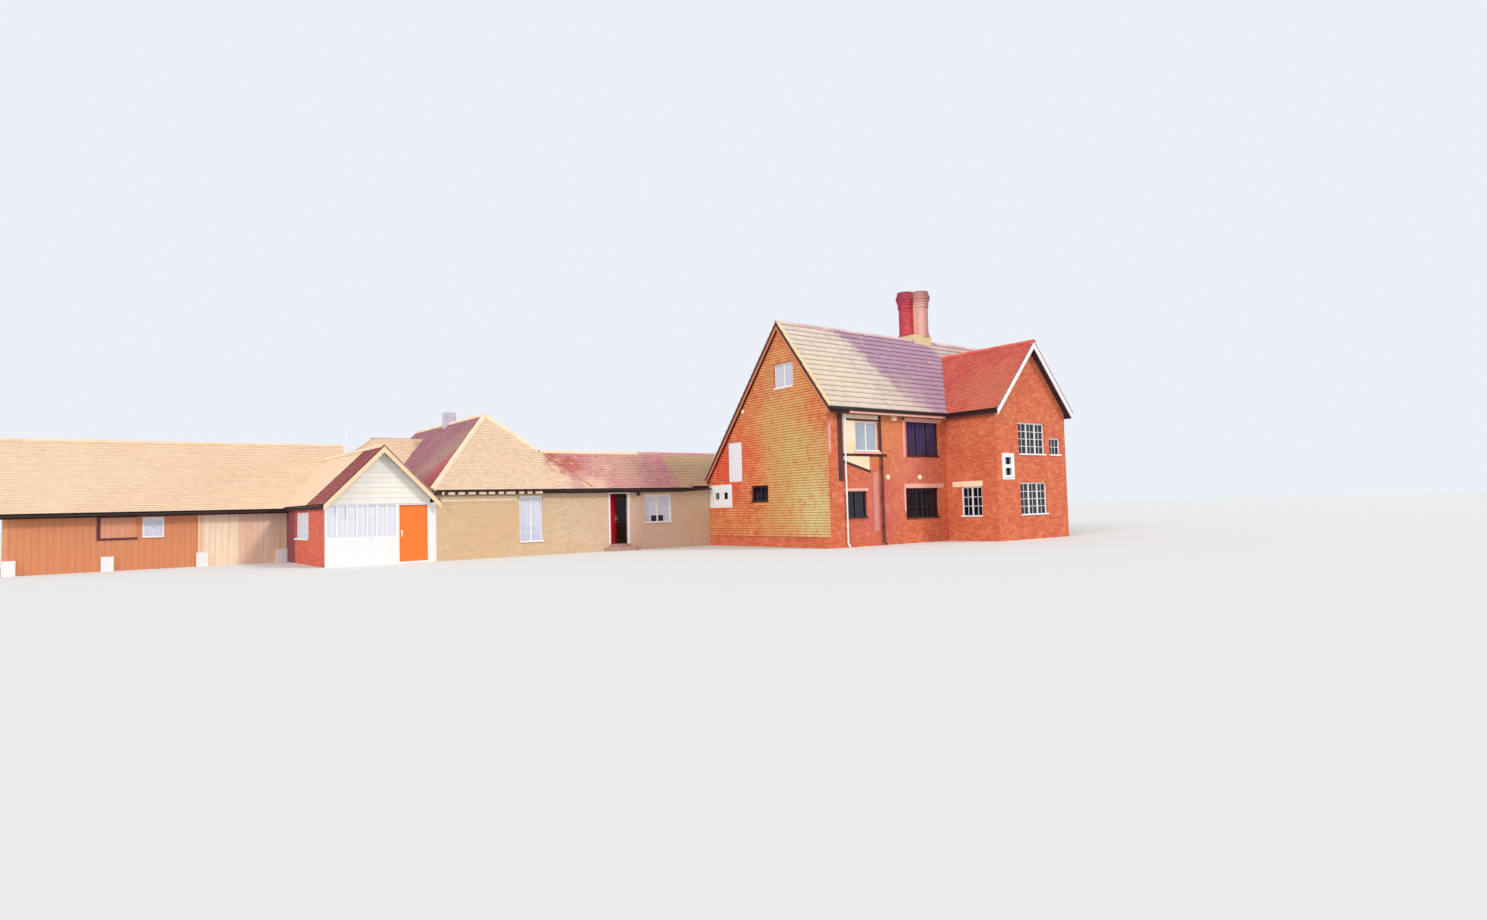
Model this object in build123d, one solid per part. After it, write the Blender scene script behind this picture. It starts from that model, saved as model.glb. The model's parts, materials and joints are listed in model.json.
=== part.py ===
from build123d import *
import math
import os

# Old farmhouse with a cross wing, a link and low ranges round its yard.
# Lengths are millimetres. While it is drawn, x=0 and y=0 are the outer corner
# of the house's front and left gable walls, +X runs along the front, +Y runs
# to the back and z=0 is the lowest ground. Each node is written about the
# middle of the whole plan, worked out at the end of the driving sizes.

# Main house
HOUSE_LENGTH = 12800
HOUSE_DEPTH = 7400
HOUSE_WALL = 300
HOUSE_EAVE_Z = 5140
HOUSE_FRONT_PITCH = 51.7
HOUSE_RIDGE_Y = 2550
HOUSE_BACK_EAVE_Z = 2807
HOUSE_FRONT_OVERHANG = 250
HOUSE_BACK_OVERHANG = 100
HOUSE_VERGE = 150
GROUND_FLOOR_Z = 250
FIRST_FLOOR_Z = 2600
ATTIC_FLOOR_Z = 5080
JOISTED_FLOOR = 180

# Cross wing in front of the house
WING_WIDTH = 4700
HOUSE_PAST_WING = 1550
WING_PROJECTION = 2450
WING_PITCH = 47.5
WING_SIDE_OVERHANG = 200
WING_VERGE = 300

# Roof slabs, measured straight down through them
HOUSE_ROOF_DROP = 240
RANGE_ROOF_DROP = 190

# Bargeboards, let into the ends of the slabs under the overhanging tiles
BARGE_THICKNESS = 35
BARGE_BELOW_TILES = 40
BARGE_PAST_SLAB = 50

# Low link behind the house corner
RANGE_WALL = 250
RANGE_EAVE_Z = 2470
RANGE_PITCH = 44.0
RANGE_OVERHANG = 200
LINK_LENGTH = 5800
LINK_DEPTH = 2720
LINK_PAST_CORNER = 1500
LINK_END_ROOF = 1450
LINK_END_SKEW = 160

# Hipped block left of the link
BLOCK_WIDTH = 5820
BLOCK_VERGE = 150

# Gabled porch range left of the block
PORCH_WIDTH = 3530
PORCH_DEPTH = 6070
PORCH_EAVE_Z = 2060
PORCH_PITCH = 45.5
PORCH_OVERHANG = 100
PORCH_VERGE = 250
PORCH_FLOOR_Z = 60
PORCH_HEAD_Z = 2030
PORCH_PANEL_Z = 950
PORCH_LIGHTS = 7
PORCH_UPRIGHT = 50

# Boarded cart range along the back, and the taller bay beside the block
CART_BAY = 2720
CART_BAYS = 3
CART_DEPTH = 4960
CART_WALL = 120
CART_EAVE_Z = 2000
CART_PITCH = 42.6
CART_OVERHANG = 300
CART_VERGE = 200
TALL_BAY_RISE = 370
TALL_BAY_RIDGE_START = 2690
CART_ROOF_RUN_IN = 1000
POST_BLOCK_WIDTH = 350
POST_BLOCK_OUT = 90
POST_BLOCK_HEIGHT = 490

# Chimneys
STACK_X = 8245
STACK_BEHIND_RIDGE = 350
STACK_LENGTH = 1140
STACK_DEPTH = 1000
STACK_ABOVE_RIDGE = 270
SHAFT_WIDTH = 600
SHAFT_PITCH = 670
SHAFT_TURN = -45
SHAFT_HEIGHT = 2020
SHAFT_WEB = 300
RING_Z = 1310
RING_HEIGHT = 80
RING_OUT = 40
CAP_COURSE = 115
CAP_COURSES = 5
CAP_OUT = 36
YARD_CHIMNEY = 450
YARD_CHIMNEY_Y = 14300
YARD_CHIMNEY_TOP_Z = 5950

# Joinery
FRAME_FACE = 60
FRAME_DEPTH = 90
FRAME_SET_BACK = 60
LIGHT_PITCH = 550
GLASS = 12
SILL_OUT = 50
SILL_HEIGHT = 60
DOOR_THICKNESS = 48
DOOR_GAP = 6
DOOR_JAMB = 70
DOOR_JAMB_DEPTH = 110
DOOR_SET_BACK = 55

# Hinges: an eye on the leaf turns on a pin held by the jamb
HINGE_PIN_R = 8
HINGE_EYE_R = 14
HINGE_RUNNING_GAP = 0.3
HINGE_EYE_OFF_LEAF = 1
HINGE_EYE_HEIGHT = 60
HINGE_STRAP = 420
HINGE_STRAP_HEIGHT = 40
HINGE_STRAP_THICKNESS = 6
HINGE_INSET = 280
HINGE_LUG_HEIGHT = 40
HINGE_PLATE = 60

# Link door, drawn standing open
LINK_DOOR_X = -4810
LINK_DOOR_WIDTH = 800
LINK_DOOR_HEIGHT = 1990
LINK_DOOR_OPEN = 44
STEP_DEPTH = 420
STEP_SIDE = 160
STEP_HEIGHT = 150

# Porch door, drawn shut
PORCH_DOOR_X = -12850
PORCH_DOOR_WIDTH = 950

# Worked out from the sizes above
HOUSE_FRONT_RUN = HOUSE_RIDGE_Y + HOUSE_FRONT_OVERHANG
HOUSE_RIDGE_Z = HOUSE_EAVE_Z + HOUSE_FRONT_RUN * math.tan(math.radians(HOUSE_FRONT_PITCH))
HOUSE_BACK_RUN = HOUSE_DEPTH + HOUSE_BACK_OVERHANG - HOUSE_RIDGE_Y
HOUSE_BACK_PITCH = math.degrees(math.atan((HOUSE_RIDGE_Z - HOUSE_BACK_EAVE_Z) / HOUSE_BACK_RUN))
WING_X = HOUSE_LENGTH - HOUSE_PAST_WING - WING_WIDTH
WING_MIDDLE = WING_X + WING_WIDTH / 2
WING_RIGHT = WING_X + WING_WIDTH
STACK_Y = HOUSE_RIDGE_Y + STACK_BEHIND_RIDGE
YARD_Y = HOUSE_DEPTH
BLOCK_RIGHT_X = -LINK_LENGTH
BLOCK_LEFT_X = BLOCK_RIGHT_X - BLOCK_WIDTH
PORCH_LEFT_X = BLOCK_LEFT_X - PORCH_WIDTH
CART_Y = YARD_Y + PORCH_DEPTH
CART_BACK_Y = CART_Y + CART_DEPTH
CART_LEFT_X = PORCH_LEFT_X - CART_BAYS * CART_BAY
LINK_BACK_Y = YARD_Y + LINK_DEPTH

# The finished frame: middle of the plan's box, on the ground
MIN_X = CART_LEFT_X - CART_VERGE
MAX_X = HOUSE_LENGTH + HOUSE_VERGE
MIN_Y = -WING_PROJECTION - WING_VERGE
MAX_Y = CART_BACK_Y + CART_OVERHANG
CENTRE = Vector((MIN_X + MAX_X) / 2, (MIN_Y + MAX_Y) / 2, 0)

# How far helper solids reach past what they cut, and past a roof's edges
FAR = 3000
ROOF_SPREAD = 500


def rise(pitch):
    """Height gained for each millimetre of plan."""
    return math.tan(math.radians(pitch))


def box(x0, x1, y0, y1, z0, z1):
    """A box between two corners."""
    return Pos((x0 + x1) / 2, (y0 + y1) / 2, (z0 + z1) / 2) * Box(x1 - x0, y1 - y0, z1 - z0)


def prism(points, direction):
    """A flat outline of 3-D points, swept straight along a direction."""
    outline = Wire.make_polygon([Vector(*point) for point in points], close=True)
    return Solid.extrude(Face(outline), Vector(*direction))


def upright_cylinder(x, y, z0, z1, radius):
    """A round post, pin or boss standing on z0."""
    return Pos(x, y, (z0 + z1) / 2) * Cylinder(radius, z1 - z0)


def save(name, *shapes):
    """Write one node, moved to the finished frame."""
    solids = []
    for shape in shapes:
        solids += shape.solids()
    moved = [solid.moved(Location(-CENTRE)) for solid in solids]
    body = moved[0] if len(moved) == 1 else Compound(children=moved)
    export_step(body, "parts/" + name + ".step")


class Roof:
    """A pitched roof over a rectangle, with its ridge along x or y.

    start and end bound it along the ridge, low and high are its two eave
    lines across it, and hips lists the ends that slope instead of a gable.
    """

    def __init__(self, along, start, end, low, high, ridge, eave_z, pitch, drop,
                 high_pitch=None, hips=()):
        self.along = along
        self.start = start
        self.end = end
        self.low = low
        self.high = high
        self.ridge = ridge
        self.drop = drop
        self.low_rise = rise(pitch)
        self.high_rise = rise(high_pitch or pitch)
        self.low_z = eave_z
        self.ridge_z = eave_z + (ridge - low) * self.low_rise
        self.high_z = self.ridge_z - (high - ridge) * self.high_rise
        run = (self.ridge_z - eave_z) / self.low_rise
        self.ridge_start = start + (run if "start" in hips else 0)
        self.ridge_end = end - (run if "end" in hips else 0)
        self.hips = hips

    def point(self, along, across, z):
        """A 3-D point from distances along and across the ridge."""
        return (along, across, z) if self.along == "x" else (across, along, z)

    def slab(self, corners):
        """A flat slab under the given top corners."""
        return prism([self.point(*corner) for corner in corners], (0, 0, -self.drop))

    def low_slope(self):
        return self.slab([(self.start, self.low, self.low_z), (self.end, self.low, self.low_z),
                          (self.ridge_end, self.ridge, self.ridge_z),
                          (self.ridge_start, self.ridge, self.ridge_z)])

    def high_slope(self):
        return self.slab([(self.start, self.high, self.high_z), (self.end, self.high, self.high_z),
                          (self.ridge_end, self.ridge, self.ridge_z),
                          (self.ridge_start, self.ridge, self.ridge_z)])

    def hip_slope(self, at_start):
        eave = self.start if at_start else self.end
        top = self.ridge_start if at_start else self.ridge_end
        return self.slab([(eave, self.low, self.low_z), (eave, self.high, self.high_z),
                          (top, self.ridge, self.ridge_z)])

    def bargeboard(self, at_start):
        """The boards up both sides of a gable's verge, meeting at its peak."""
        face = self.start if at_start else self.end - BARGE_THICKNESS
        foot = self.drop + BARGE_PAST_SLAB
        line = [(self.low, self.low_z), (self.ridge, self.ridge_z), (self.high, self.high_z)]
        outline = [self.point(face, across, z - BARGE_BELOW_TILES) for across, z in line]
        outline += [self.point(face, across, z - foot) for across, z in reversed(line)]
        return prism(outline, self.point(BARGE_THICKNESS, 0, 0))

    def under(self, lowered, spread):
        """Everything below the roof's planes, lowered and spread past its edges."""
        low = self.low - spread
        high = self.high + spread
        start = self.start - spread
        end = self.end + spread
        base = -FAR
        across = [(low, base), (low, self.low_z - spread * self.low_rise - lowered),
                  (self.ridge, self.ridge_z - lowered),
                  (high, self.high_z - spread * self.high_rise - lowered), (high, base)]
        sweep = self.point(end - start, 0, 0)
        body = prism([self.point(start, c, z) for c, z in across], sweep)
        for name, eave, top, sign in (("start", self.start, self.ridge_start, -1),
                                      ("end", self.end, self.ridge_end, 1)):
            if name in self.hips:
                edge = eave + sign * spread
                edge_z = self.low_z - spread * self.low_rise - lowered
                far_end = self.ridge_end if sign < 0 else self.ridge_start
                far_end = far_end - sign * (spread + FAR)
                side = [(edge, base), (edge, edge_z), (top, self.ridge_z - lowered),
                        (far_end, self.ridge_z - lowered), (far_end, base)]
                body = body & prism([self.point(a, low, z) for a, z in side],
                                    self.point(0, high - low, 0))
        return body

    def outer(self):
        """The whole space up to the tiles."""
        return self.under(0, 0)

    def inner(self):
        """The space under the slabs, wider than the roof so that it clears its edges."""
        return self.under(self.drop, ROOF_SPREAD)


# The roofs
house_roof = Roof("x", -HOUSE_VERGE, HOUSE_LENGTH + HOUSE_VERGE, -HOUSE_FRONT_OVERHANG,
                  HOUSE_DEPTH + HOUSE_BACK_OVERHANG, HOUSE_RIDGE_Y, HOUSE_EAVE_Z,
                  HOUSE_FRONT_PITCH, HOUSE_ROOF_DROP, HOUSE_BACK_PITCH)
wing_roof = Roof("y", -WING_PROJECTION - WING_VERGE, HOUSE_RIDGE_Y, WING_X - WING_SIDE_OVERHANG,
                 WING_RIGHT + WING_SIDE_OVERHANG, WING_MIDDLE,
                 HOUSE_EAVE_Z, WING_PITCH, HOUSE_ROOF_DROP)
block_roof = Roof("y", YARD_Y - RANGE_OVERHANG, CART_BACK_Y + BLOCK_VERGE,
                  BLOCK_LEFT_X - RANGE_OVERHANG, BLOCK_RIGHT_X + RANGE_OVERHANG,
                  (BLOCK_LEFT_X + BLOCK_RIGHT_X) / 2, RANGE_EAVE_Z, RANGE_PITCH,
                  RANGE_ROOF_DROP, hips=("start",))
link_roof = Roof("x", block_roof.ridge, LINK_PAST_CORNER + BLOCK_VERGE, YARD_Y - RANGE_OVERHANG,
                 LINK_BACK_Y + RANGE_OVERHANG, YARD_Y + LINK_DEPTH / 2, RANGE_EAVE_Z,
                 RANGE_PITCH, RANGE_ROOF_DROP)
cart_roof = Roof("x", CART_LEFT_X - CART_VERGE, BLOCK_LEFT_X - CART_ROOF_RUN_IN,
                 CART_Y - CART_OVERHANG, CART_BACK_Y + CART_OVERHANG, CART_Y + CART_DEPTH / 2,
                 CART_EAVE_Z, CART_PITCH, RANGE_ROOF_DROP)
tall_bay_roof = Roof("x", block_roof.ridge - TALL_BAY_RIDGE_START - (CART_DEPTH / 2 + CART_OVERHANG),
                     block_roof.ridge, CART_Y - CART_OVERHANG, CART_BACK_Y + CART_OVERHANG,
                     CART_Y + CART_DEPTH / 2, CART_EAVE_Z + TALL_BAY_RISE, CART_PITCH,
                     RANGE_ROOF_DROP, hips=("start",))
porch_roof = Roof("y", YARD_Y - PORCH_VERGE, CART_Y + CART_DEPTH / 2, PORCH_LEFT_X - PORCH_OVERHANG,
                  BLOCK_LEFT_X + PORCH_OVERHANG, (PORCH_LEFT_X + BLOCK_LEFT_X) / 2, PORCH_EAVE_Z,
                  PORCH_PITCH, RANGE_ROOF_DROP)

house_outer = house_roof.outer()
house_inner = house_roof.inner()
wing_inner = wing_roof.inner()
block_outer = block_roof.outer()
block_inner = block_roof.inner()
link_inner = link_roof.inner()
cart_outer = cart_roof.outer()
cart_inner = cart_roof.inner()
tall_bay_outer = tall_bay_roof.outer()
tall_bay_inner = tall_bay_roof.inner()
porch_inner = porch_roof.inner()
porch_hollow = porch_inner & box(PORCH_LEFT_X, BLOCK_LEFT_X, porch_roof.start, cart_roof.ridge,
                                 0, cart_roof.ridge_z)
left_bargeboard = house_roof.bargeboard(True)
right_bargeboard = house_roof.bargeboard(False)
wing_bargeboard = wing_roof.bargeboard(True)
porch_bargeboard = porch_roof.bargeboard(True)
house_back_slab = house_roof.high_slope() - left_bargeboard - right_bargeboard


class Wall:
    """A straight upright wall face that openings and joinery are placed on.

    along is the axis that the wall follows, face is where its outer face
    lies, and inward is +1 or -1, the way from that face into the building.
    """

    def __init__(self, along, face, inward, thickness):
        self.along = along
        self.face = face
        self.inward = inward
        self.thickness = thickness
        self.set_back = min(FRAME_SET_BACK, (thickness - FRAME_DEPTH) / 2)

    def block(self, u0, u1, v0, v1, z0, z1):
        """A box from u0 to u1 along the wall and v0 to v1 into it."""
        low, high = sorted((self.face + self.inward * v0, self.face + self.inward * v1))
        if self.along == "x":
            return box(u0, u1, low, high, z0, z1)
        return box(low, high, u0, u1, z0, z1)

    def body(self, u0, u1, z0, z1):
        return self.block(u0, u1, 0, self.thickness, z0, z1)

    def hole(self, window):
        u0, u1, z0, z1 = window
        return self.block(u0, u1, -FRAME_DEPTH, self.thickness + FRAME_DEPTH, z0, z1)


def lights_of(window):
    """Left edge and width of each light, between uprights of one width."""
    u0, u1 = window[:2]
    lights = max(1, round((u1 - u0) / LIGHT_PITCH))
    pitch = (u1 - u0 - FRAME_FACE) / lights
    return [(u0 + FRAME_FACE + light * pitch, pitch - FRAME_FACE) for light in range(lights)]


def window_frame(wall, window):
    """The fixed frame with an upright between each pair of lights."""
    u0, u1, z0, z1 = window
    back = wall.set_back + FRAME_DEPTH
    frame = wall.block(u0, u1, wall.set_back, back, z0, z1)
    for left, width in lights_of(window):
        frame -= wall.block(left, left + width, 0, back + FRAME_DEPTH, z0 + FRAME_FACE,
                            z1 - FRAME_FACE)
    return frame


def window_glass(wall, window):
    """One pane in each light, held in the middle of the frame."""
    z0, z1 = window[2:]
    front = wall.set_back + (FRAME_DEPTH - GLASS) / 2
    return [wall.block(left, left + width, front, front + GLASS, z0 + FRAME_FACE, z1 - FRAME_FACE)
            for left, width in lights_of(window)]


def window_sill(wall, window):
    """A sill that stands out under the frame, let into the opening's foot."""
    u0, u1, z0, z1 = window
    return wall.block(u0, u1, -SILL_OUT, wall.set_back, z0, z0 + SILL_HEIGHT)


def cut_windows(wall, body, windows):
    for window in windows:
        body -= wall.hole(window)
    return body


def save_windows(name, walls):
    """Frames with their sills in one node, and the glass in another."""
    frames = []
    panes = []
    for wall, windows in walls:
        for window in windows:
            frames.append(window_frame(wall, window) + window_sill(wall, window))
            panes += window_glass(wall, window)
    save(name + "_window_frames", *frames)
    save(name + "_window_glass", *panes)


# Wall faces
house_front = Wall("x", 0, 1, HOUSE_WALL)
house_back = Wall("x", HOUSE_DEPTH, -1, HOUSE_WALL)
house_left = Wall("y", 0, 1, HOUSE_WALL)
house_right = Wall("y", HOUSE_LENGTH, -1, HOUSE_WALL)
wing_front = Wall("x", -WING_PROJECTION, 1, HOUSE_WALL)
wing_left = Wall("y", WING_X, 1, HOUSE_WALL)
wing_right = Wall("y", WING_RIGHT, -1, HOUSE_WALL)
yard_front = Wall("x", YARD_Y, 1, RANGE_WALL)
link_back = Wall("x", LINK_BACK_Y, -1, RANGE_WALL)
link_end = Wall("y", LINK_PAST_CORNER, -1, RANGE_WALL)
block_left = Wall("y", BLOCK_LEFT_X, 1, RANGE_WALL)
block_right = Wall("y", BLOCK_RIGHT_X, -1, RANGE_WALL)
block_back = Wall("x", CART_BACK_Y, -1, RANGE_WALL)
porch_left = Wall("y", PORCH_LEFT_X, 1, RANGE_WALL)
cart_front = Wall("x", CART_Y, 1, CART_WALL)
cart_back = Wall("x", CART_BACK_Y, -1, CART_WALL)
cart_left = Wall("y", CART_LEFT_X, 1, CART_WALL)

# Windows: from, to, sill, head
FRONT_WINDOWS = [(1400, 2620, 3530, 4650), (WING_X - 2340, WING_X - 450, 3370, 4800),
                 (800, 1900, 1050, 2050), (WING_X - 2480, WING_X - 560, 950, 2300)]
ATTIC_WINDOW = (HOUSE_RIDGE_Y - 770, HOUSE_RIDGE_Y + 360, 6090, 7060)
GABLE_WINDOWS = [ATTIC_WINDOW, (HOUSE_DEPTH - 1510, HOUSE_DEPTH - 400, 1630, 2400),
                 (HOUSE_DEPTH - 3950, HOUSE_DEPTH - 2900, 1750, 2400)]
LOFT_DOOR = (HOUSE_DEPTH - 2310, HOUSE_DEPTH - 1410, 2620, 4240)
WING_WINDOWS = [(WING_X + 400, WING_X + 1000, 2460, 3310),
                (WING_RIGHT - 1150, WING_RIGHT - 350, 3340, 4070),
                (WING_MIDDLE - 900, WING_MIDDLE + 900, 3340, 4640),
                (WING_MIDDLE - 900, WING_MIDDLE + 900, 950, 2250)]
WING_SIDE_WINDOWS = [(-WING_PROJECTION + 750, -WING_PROJECTION + 1750, 950, 2150)]
BACK_WINDOWS = [(3000, 4200, 1050, 2050), (6000, 7200, 1050, 2050),
                (HOUSE_LENGTH - 3200, HOUSE_LENGTH - 2000, 1050, 2050)]
RIGHT_WINDOWS = [ATTIC_WINDOW, (HOUSE_RIDGE_Y - 770, HOUSE_RIDGE_Y + 360, 3530, 4650),
                 (HOUSE_RIDGE_Y - 770, HOUSE_RIDGE_Y + 360, 1050, 2250)]
LINK_WINDOWS = [(-3250, -1950, 1040, 2190)]
BLOCK_WINDOWS = [(BLOCK_RIGHT_X - 2780, BLOCK_RIGHT_X - 1860, 500, 2200)]
BLOCK_RIGHT_WINDOWS = [(CART_BACK_Y - 5430, CART_BACK_Y - 4130, 1040, 2100)]
LINK_BACK_WINDOWS = [(-3250, -1950, 1040, 2100)]
PORCH_WINDOWS = [(CART_Y - 3650, CART_Y - 1550, 840, 1800)]
CART_WINDOWS = [(CART_LEFT_X + 3690, CART_LEFT_X + 4320, 1080, 1780)]
CART_BACK_WINDOWS = [(CART_LEFT_X + 3690, CART_LEFT_X + 4320, 1080, 1780)]

LOFT_DOOR_SET_BACK = 20
LOFT_DOOR_THICKNESS = 60

HATCH_X = CART_LEFT_X + 2530
HATCH_WIDTH = 970
HATCH_Z = 1110
HATCH_HEIGHT = 680
HATCH_THICKNESS = 30


def house_walls():
    left = house_left.body(0, HOUSE_DEPTH, 0, HOUSE_RIDGE_Z) & house_inner
    left = cut_windows(house_left, left, GABLE_WINDOWS + [LOFT_DOOR])
    save("left_gable_wall", left)
    right = house_right.body(0, HOUSE_DEPTH, 0, HOUSE_RIDGE_Z) & house_inner
    save("right_gable_wall", cut_windows(house_right, right, RIGHT_WINDOWS))
    front = house_front.body(HOUSE_WALL, WING_X, 0, HOUSE_RIDGE_Z) & house_inner
    past_wing = house_front.body(WING_RIGHT, HOUSE_LENGTH - HOUSE_WALL, 0, HOUSE_RIDGE_Z)
    save("front_wall", cut_windows(house_front, front, FRONT_WINDOWS), past_wing & house_inner)
    back = house_back.body(HOUSE_WALL, HOUSE_LENGTH - HOUSE_WALL, 0, HOUSE_RIDGE_Z) & house_inner
    save("back_wall", cut_windows(house_back, back, BACK_WINDOWS))


def wing_walls():
    front = wing_front.body(WING_X, WING_RIGHT, 0, HOUSE_RIDGE_Z) & wing_inner
    save("wing_front_wall", cut_windows(wing_front, front, WING_WINDOWS))
    near = -WING_PROJECTION + HOUSE_WALL
    left = wing_left.body(near, HOUSE_WALL, 0, HOUSE_RIDGE_Z) & wing_inner
    right = wing_right.body(near, HOUSE_WALL, 0, HOUSE_RIDGE_Z) & wing_inner
    save("wing_side_walls", cut_windows(wing_left, left, WING_SIDE_WINDOWS), right)


def house_floors():
    stack = chimney_base()
    inside = (HOUSE_WALL, HOUSE_LENGTH - HOUSE_WALL, HOUSE_WALL, HOUSE_DEPTH - HOUSE_WALL)
    wing = (WING_X + HOUSE_WALL, WING_RIGHT - HOUSE_WALL,
            -WING_PROJECTION + HOUSE_WALL, HOUSE_WALL)
    levels = (("ground", 0, GROUND_FLOOR_Z), ("first", FIRST_FLOOR_Z - JOISTED_FLOOR, FIRST_FLOOR_Z),
              ("attic", ATTIC_FLOOR_Z - JOISTED_FLOOR, ATTIC_FLOOR_Z))
    for level, bottom, top in levels:
        main = (box(*inside, bottom, top) & house_inner) - stack
        save(level + "_floor", main + (box(*wing, bottom, top) & wing_inner))


def chimney_base():
    """The square stack, from the ground to just above the ridge."""
    half_x = STACK_LENGTH / 2
    half_y = STACK_DEPTH / 2
    return box(STACK_X - half_x, STACK_X + half_x, STACK_Y - half_y, STACK_Y + half_y,
               0, HOUSE_RIDGE_Z + STACK_ABOVE_RIDGE)


def octagon(x, y, width, z0, z1):
    """An eight-sided shaft, given the width across its flats."""
    corner = width / 2 / math.cos(math.pi / 8)
    points = []
    for side in range(8):
        angle = math.pi / 8 + side * math.pi / 4
        points.append((x + corner * math.cos(angle), y + corner * math.sin(angle), z0))
    return prism(points, (0, 0, z1 - z0))


def house_chimney():
    """Two eight-sided shafts with rings and stepped caps, set corner to corner on one base."""
    foot = HOUSE_RIDGE_Z + STACK_ABOVE_RIDGE
    top = foot + SHAFT_HEIGHT
    cap_foot = top - CAP_COURSE * CAP_COURSES
    middle = (CAP_COURSES - 1) / 2
    turn = math.radians(SHAFT_TURN)
    along_x, along_y = math.cos(turn), math.sin(turn)
    centres = [(STACK_X + reach * along_x, STACK_Y + reach * along_y)
               for reach in (-SHAFT_PITCH / 2, SHAFT_PITCH / 2)]
    out_x, out_y = SHAFT_WEB / 2 * along_y, -SHAFT_WEB / 2 * along_x
    web = [(x + out_x, y + out_y, foot) for x, y in centres]
    web += [(x - out_x, y - out_y, foot) for x, y in reversed(centres)]
    stack = chimney_base() + prism(web, (0, 0, cap_foot - foot))
    for x, y in centres:
        stack += octagon(x, y, SHAFT_WIDTH, foot, top)
        for ring in (foot, foot + RING_Z):
            stack += octagon(x, y, SHAFT_WIDTH + 2 * RING_OUT, ring, ring + RING_HEIGHT)
        for course in range(CAP_COURSES):
            steps = CAP_COURSES - abs(course - middle)
            width = SHAFT_WIDTH + 2 * CAP_OUT * (steps - middle)
            low = cap_foot + course * CAP_COURSE
            stack += octagon(x, y, width, low, low + CAP_COURSE)
    save("house_chimney", stack)


def house_roofs():
    """Slabs of the house and its wing, with the boards on their gables."""
    stack = chimney_base()
    wing_hollow = wing_inner & box(wing_roof.low, wing_roof.high, -HOUSE_FRONT_OVERHANG - FAR,
                                   HOUSE_RIDGE_Y, 0, HOUSE_RIDGE_Z)
    front = house_roof.low_slope() - left_bargeboard - right_bargeboard
    save("house_front_roof", front - stack - wing_hollow)
    save("house_back_roof", house_back_slab - stack)
    save("house_bargeboards", left_bargeboard, right_bargeboard)
    save("wing_left_roof", wing_roof.low_slope() - house_outer - wing_bargeboard)
    save("wing_right_roof", wing_roof.high_slope() - house_outer - wing_bargeboard)
    save("wing_bargeboards", wing_bargeboard)


def link_range():
    """Link walls round the open doorway, its floor and its roof."""
    jamb_left = LINK_DOOR_X - DOOR_JAMB
    jamb_right = LINK_DOOR_X + LINK_DOOR_WIDTH + DOOR_JAMB
    head = GROUND_FLOOR_Z + LINK_DOOR_HEIGHT + DOOR_JAMB
    tall = link_roof.ridge_z
    save("link_wall_left_of_door", yard_front.body(BLOCK_RIGHT_X, jamb_left, 0, tall) & link_inner)
    save("link_wall_over_door", yard_front.body(jamb_left, jamb_right, head, tall) & link_inner)
    right = (yard_front.body(jamb_right, HOUSE_WALL, 0, tall) & link_inner) - house_back_slab
    right -= left_bargeboard
    save("link_wall_right_of_door", cut_windows(yard_front, right, LINK_WINDOWS))
    back = link_back.body(BLOCK_RIGHT_X, LINK_PAST_CORNER, 0, tall)
    back = back + link_end.body(YARD_Y, LINK_BACK_Y - RANGE_WALL, 0, tall)
    back = (back & link_inner) - house_back_slab
    save("link_back_wall", cut_windows(link_back, back, LINK_BACK_WINDOWS))
    floor = box(BLOCK_RIGHT_X - RANGE_WALL, LINK_PAST_CORNER - RANGE_WALL, YARD_Y + RANGE_WALL,
                LINK_BACK_Y - RANGE_WALL, 0, GROUND_FLOOR_Z)
    strip = box(HOUSE_WALL, LINK_PAST_CORNER - RANGE_WALL, YARD_Y, YARD_Y + RANGE_WALL,
                0, GROUND_FLOOR_Z)
    block_floor = box(BLOCK_LEFT_X + RANGE_WALL, BLOCK_RIGHT_X - RANGE_WALL, YARD_Y + RANGE_WALL,
                      CART_BACK_Y - RANGE_WALL, 0, GROUND_FLOOR_Z)
    save("yard_floor", floor + strip + block_floor)
    front = link_roof.low_slope() - block_outer - house_outer
    split = -HOUSE_VERGE - LINK_END_ROOF
    near = box(block_roof.low, split, YARD_Y - FAR, LINK_BACK_Y, 0, tall + FAR)
    save("link_front_roof", front & near)
    slant = prism([(split, link_roof.low, 0), (split, link_roof.low - FAR, 0),
                   (link_roof.end, link_roof.low - FAR, 0),
                   (link_roof.end, link_roof.low + LINK_END_SKEW, 0)], (0, 0, tall))
    save("link_front_end_roof", front - near - slant)
    save("link_back_roof", link_roof.high_slope() - block_outer - house_outer)
    step = box(jamb_left - STEP_SIDE, jamb_right + STEP_SIDE, YARD_Y - STEP_DEPTH, YARD_Y,
               0, STEP_HEIGHT)
    sill = yard_front.block(jamb_left, jamb_right, 0, RANGE_WALL, 0, GROUND_FLOOR_Z)
    save("link_door_step", step + sill)


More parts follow.
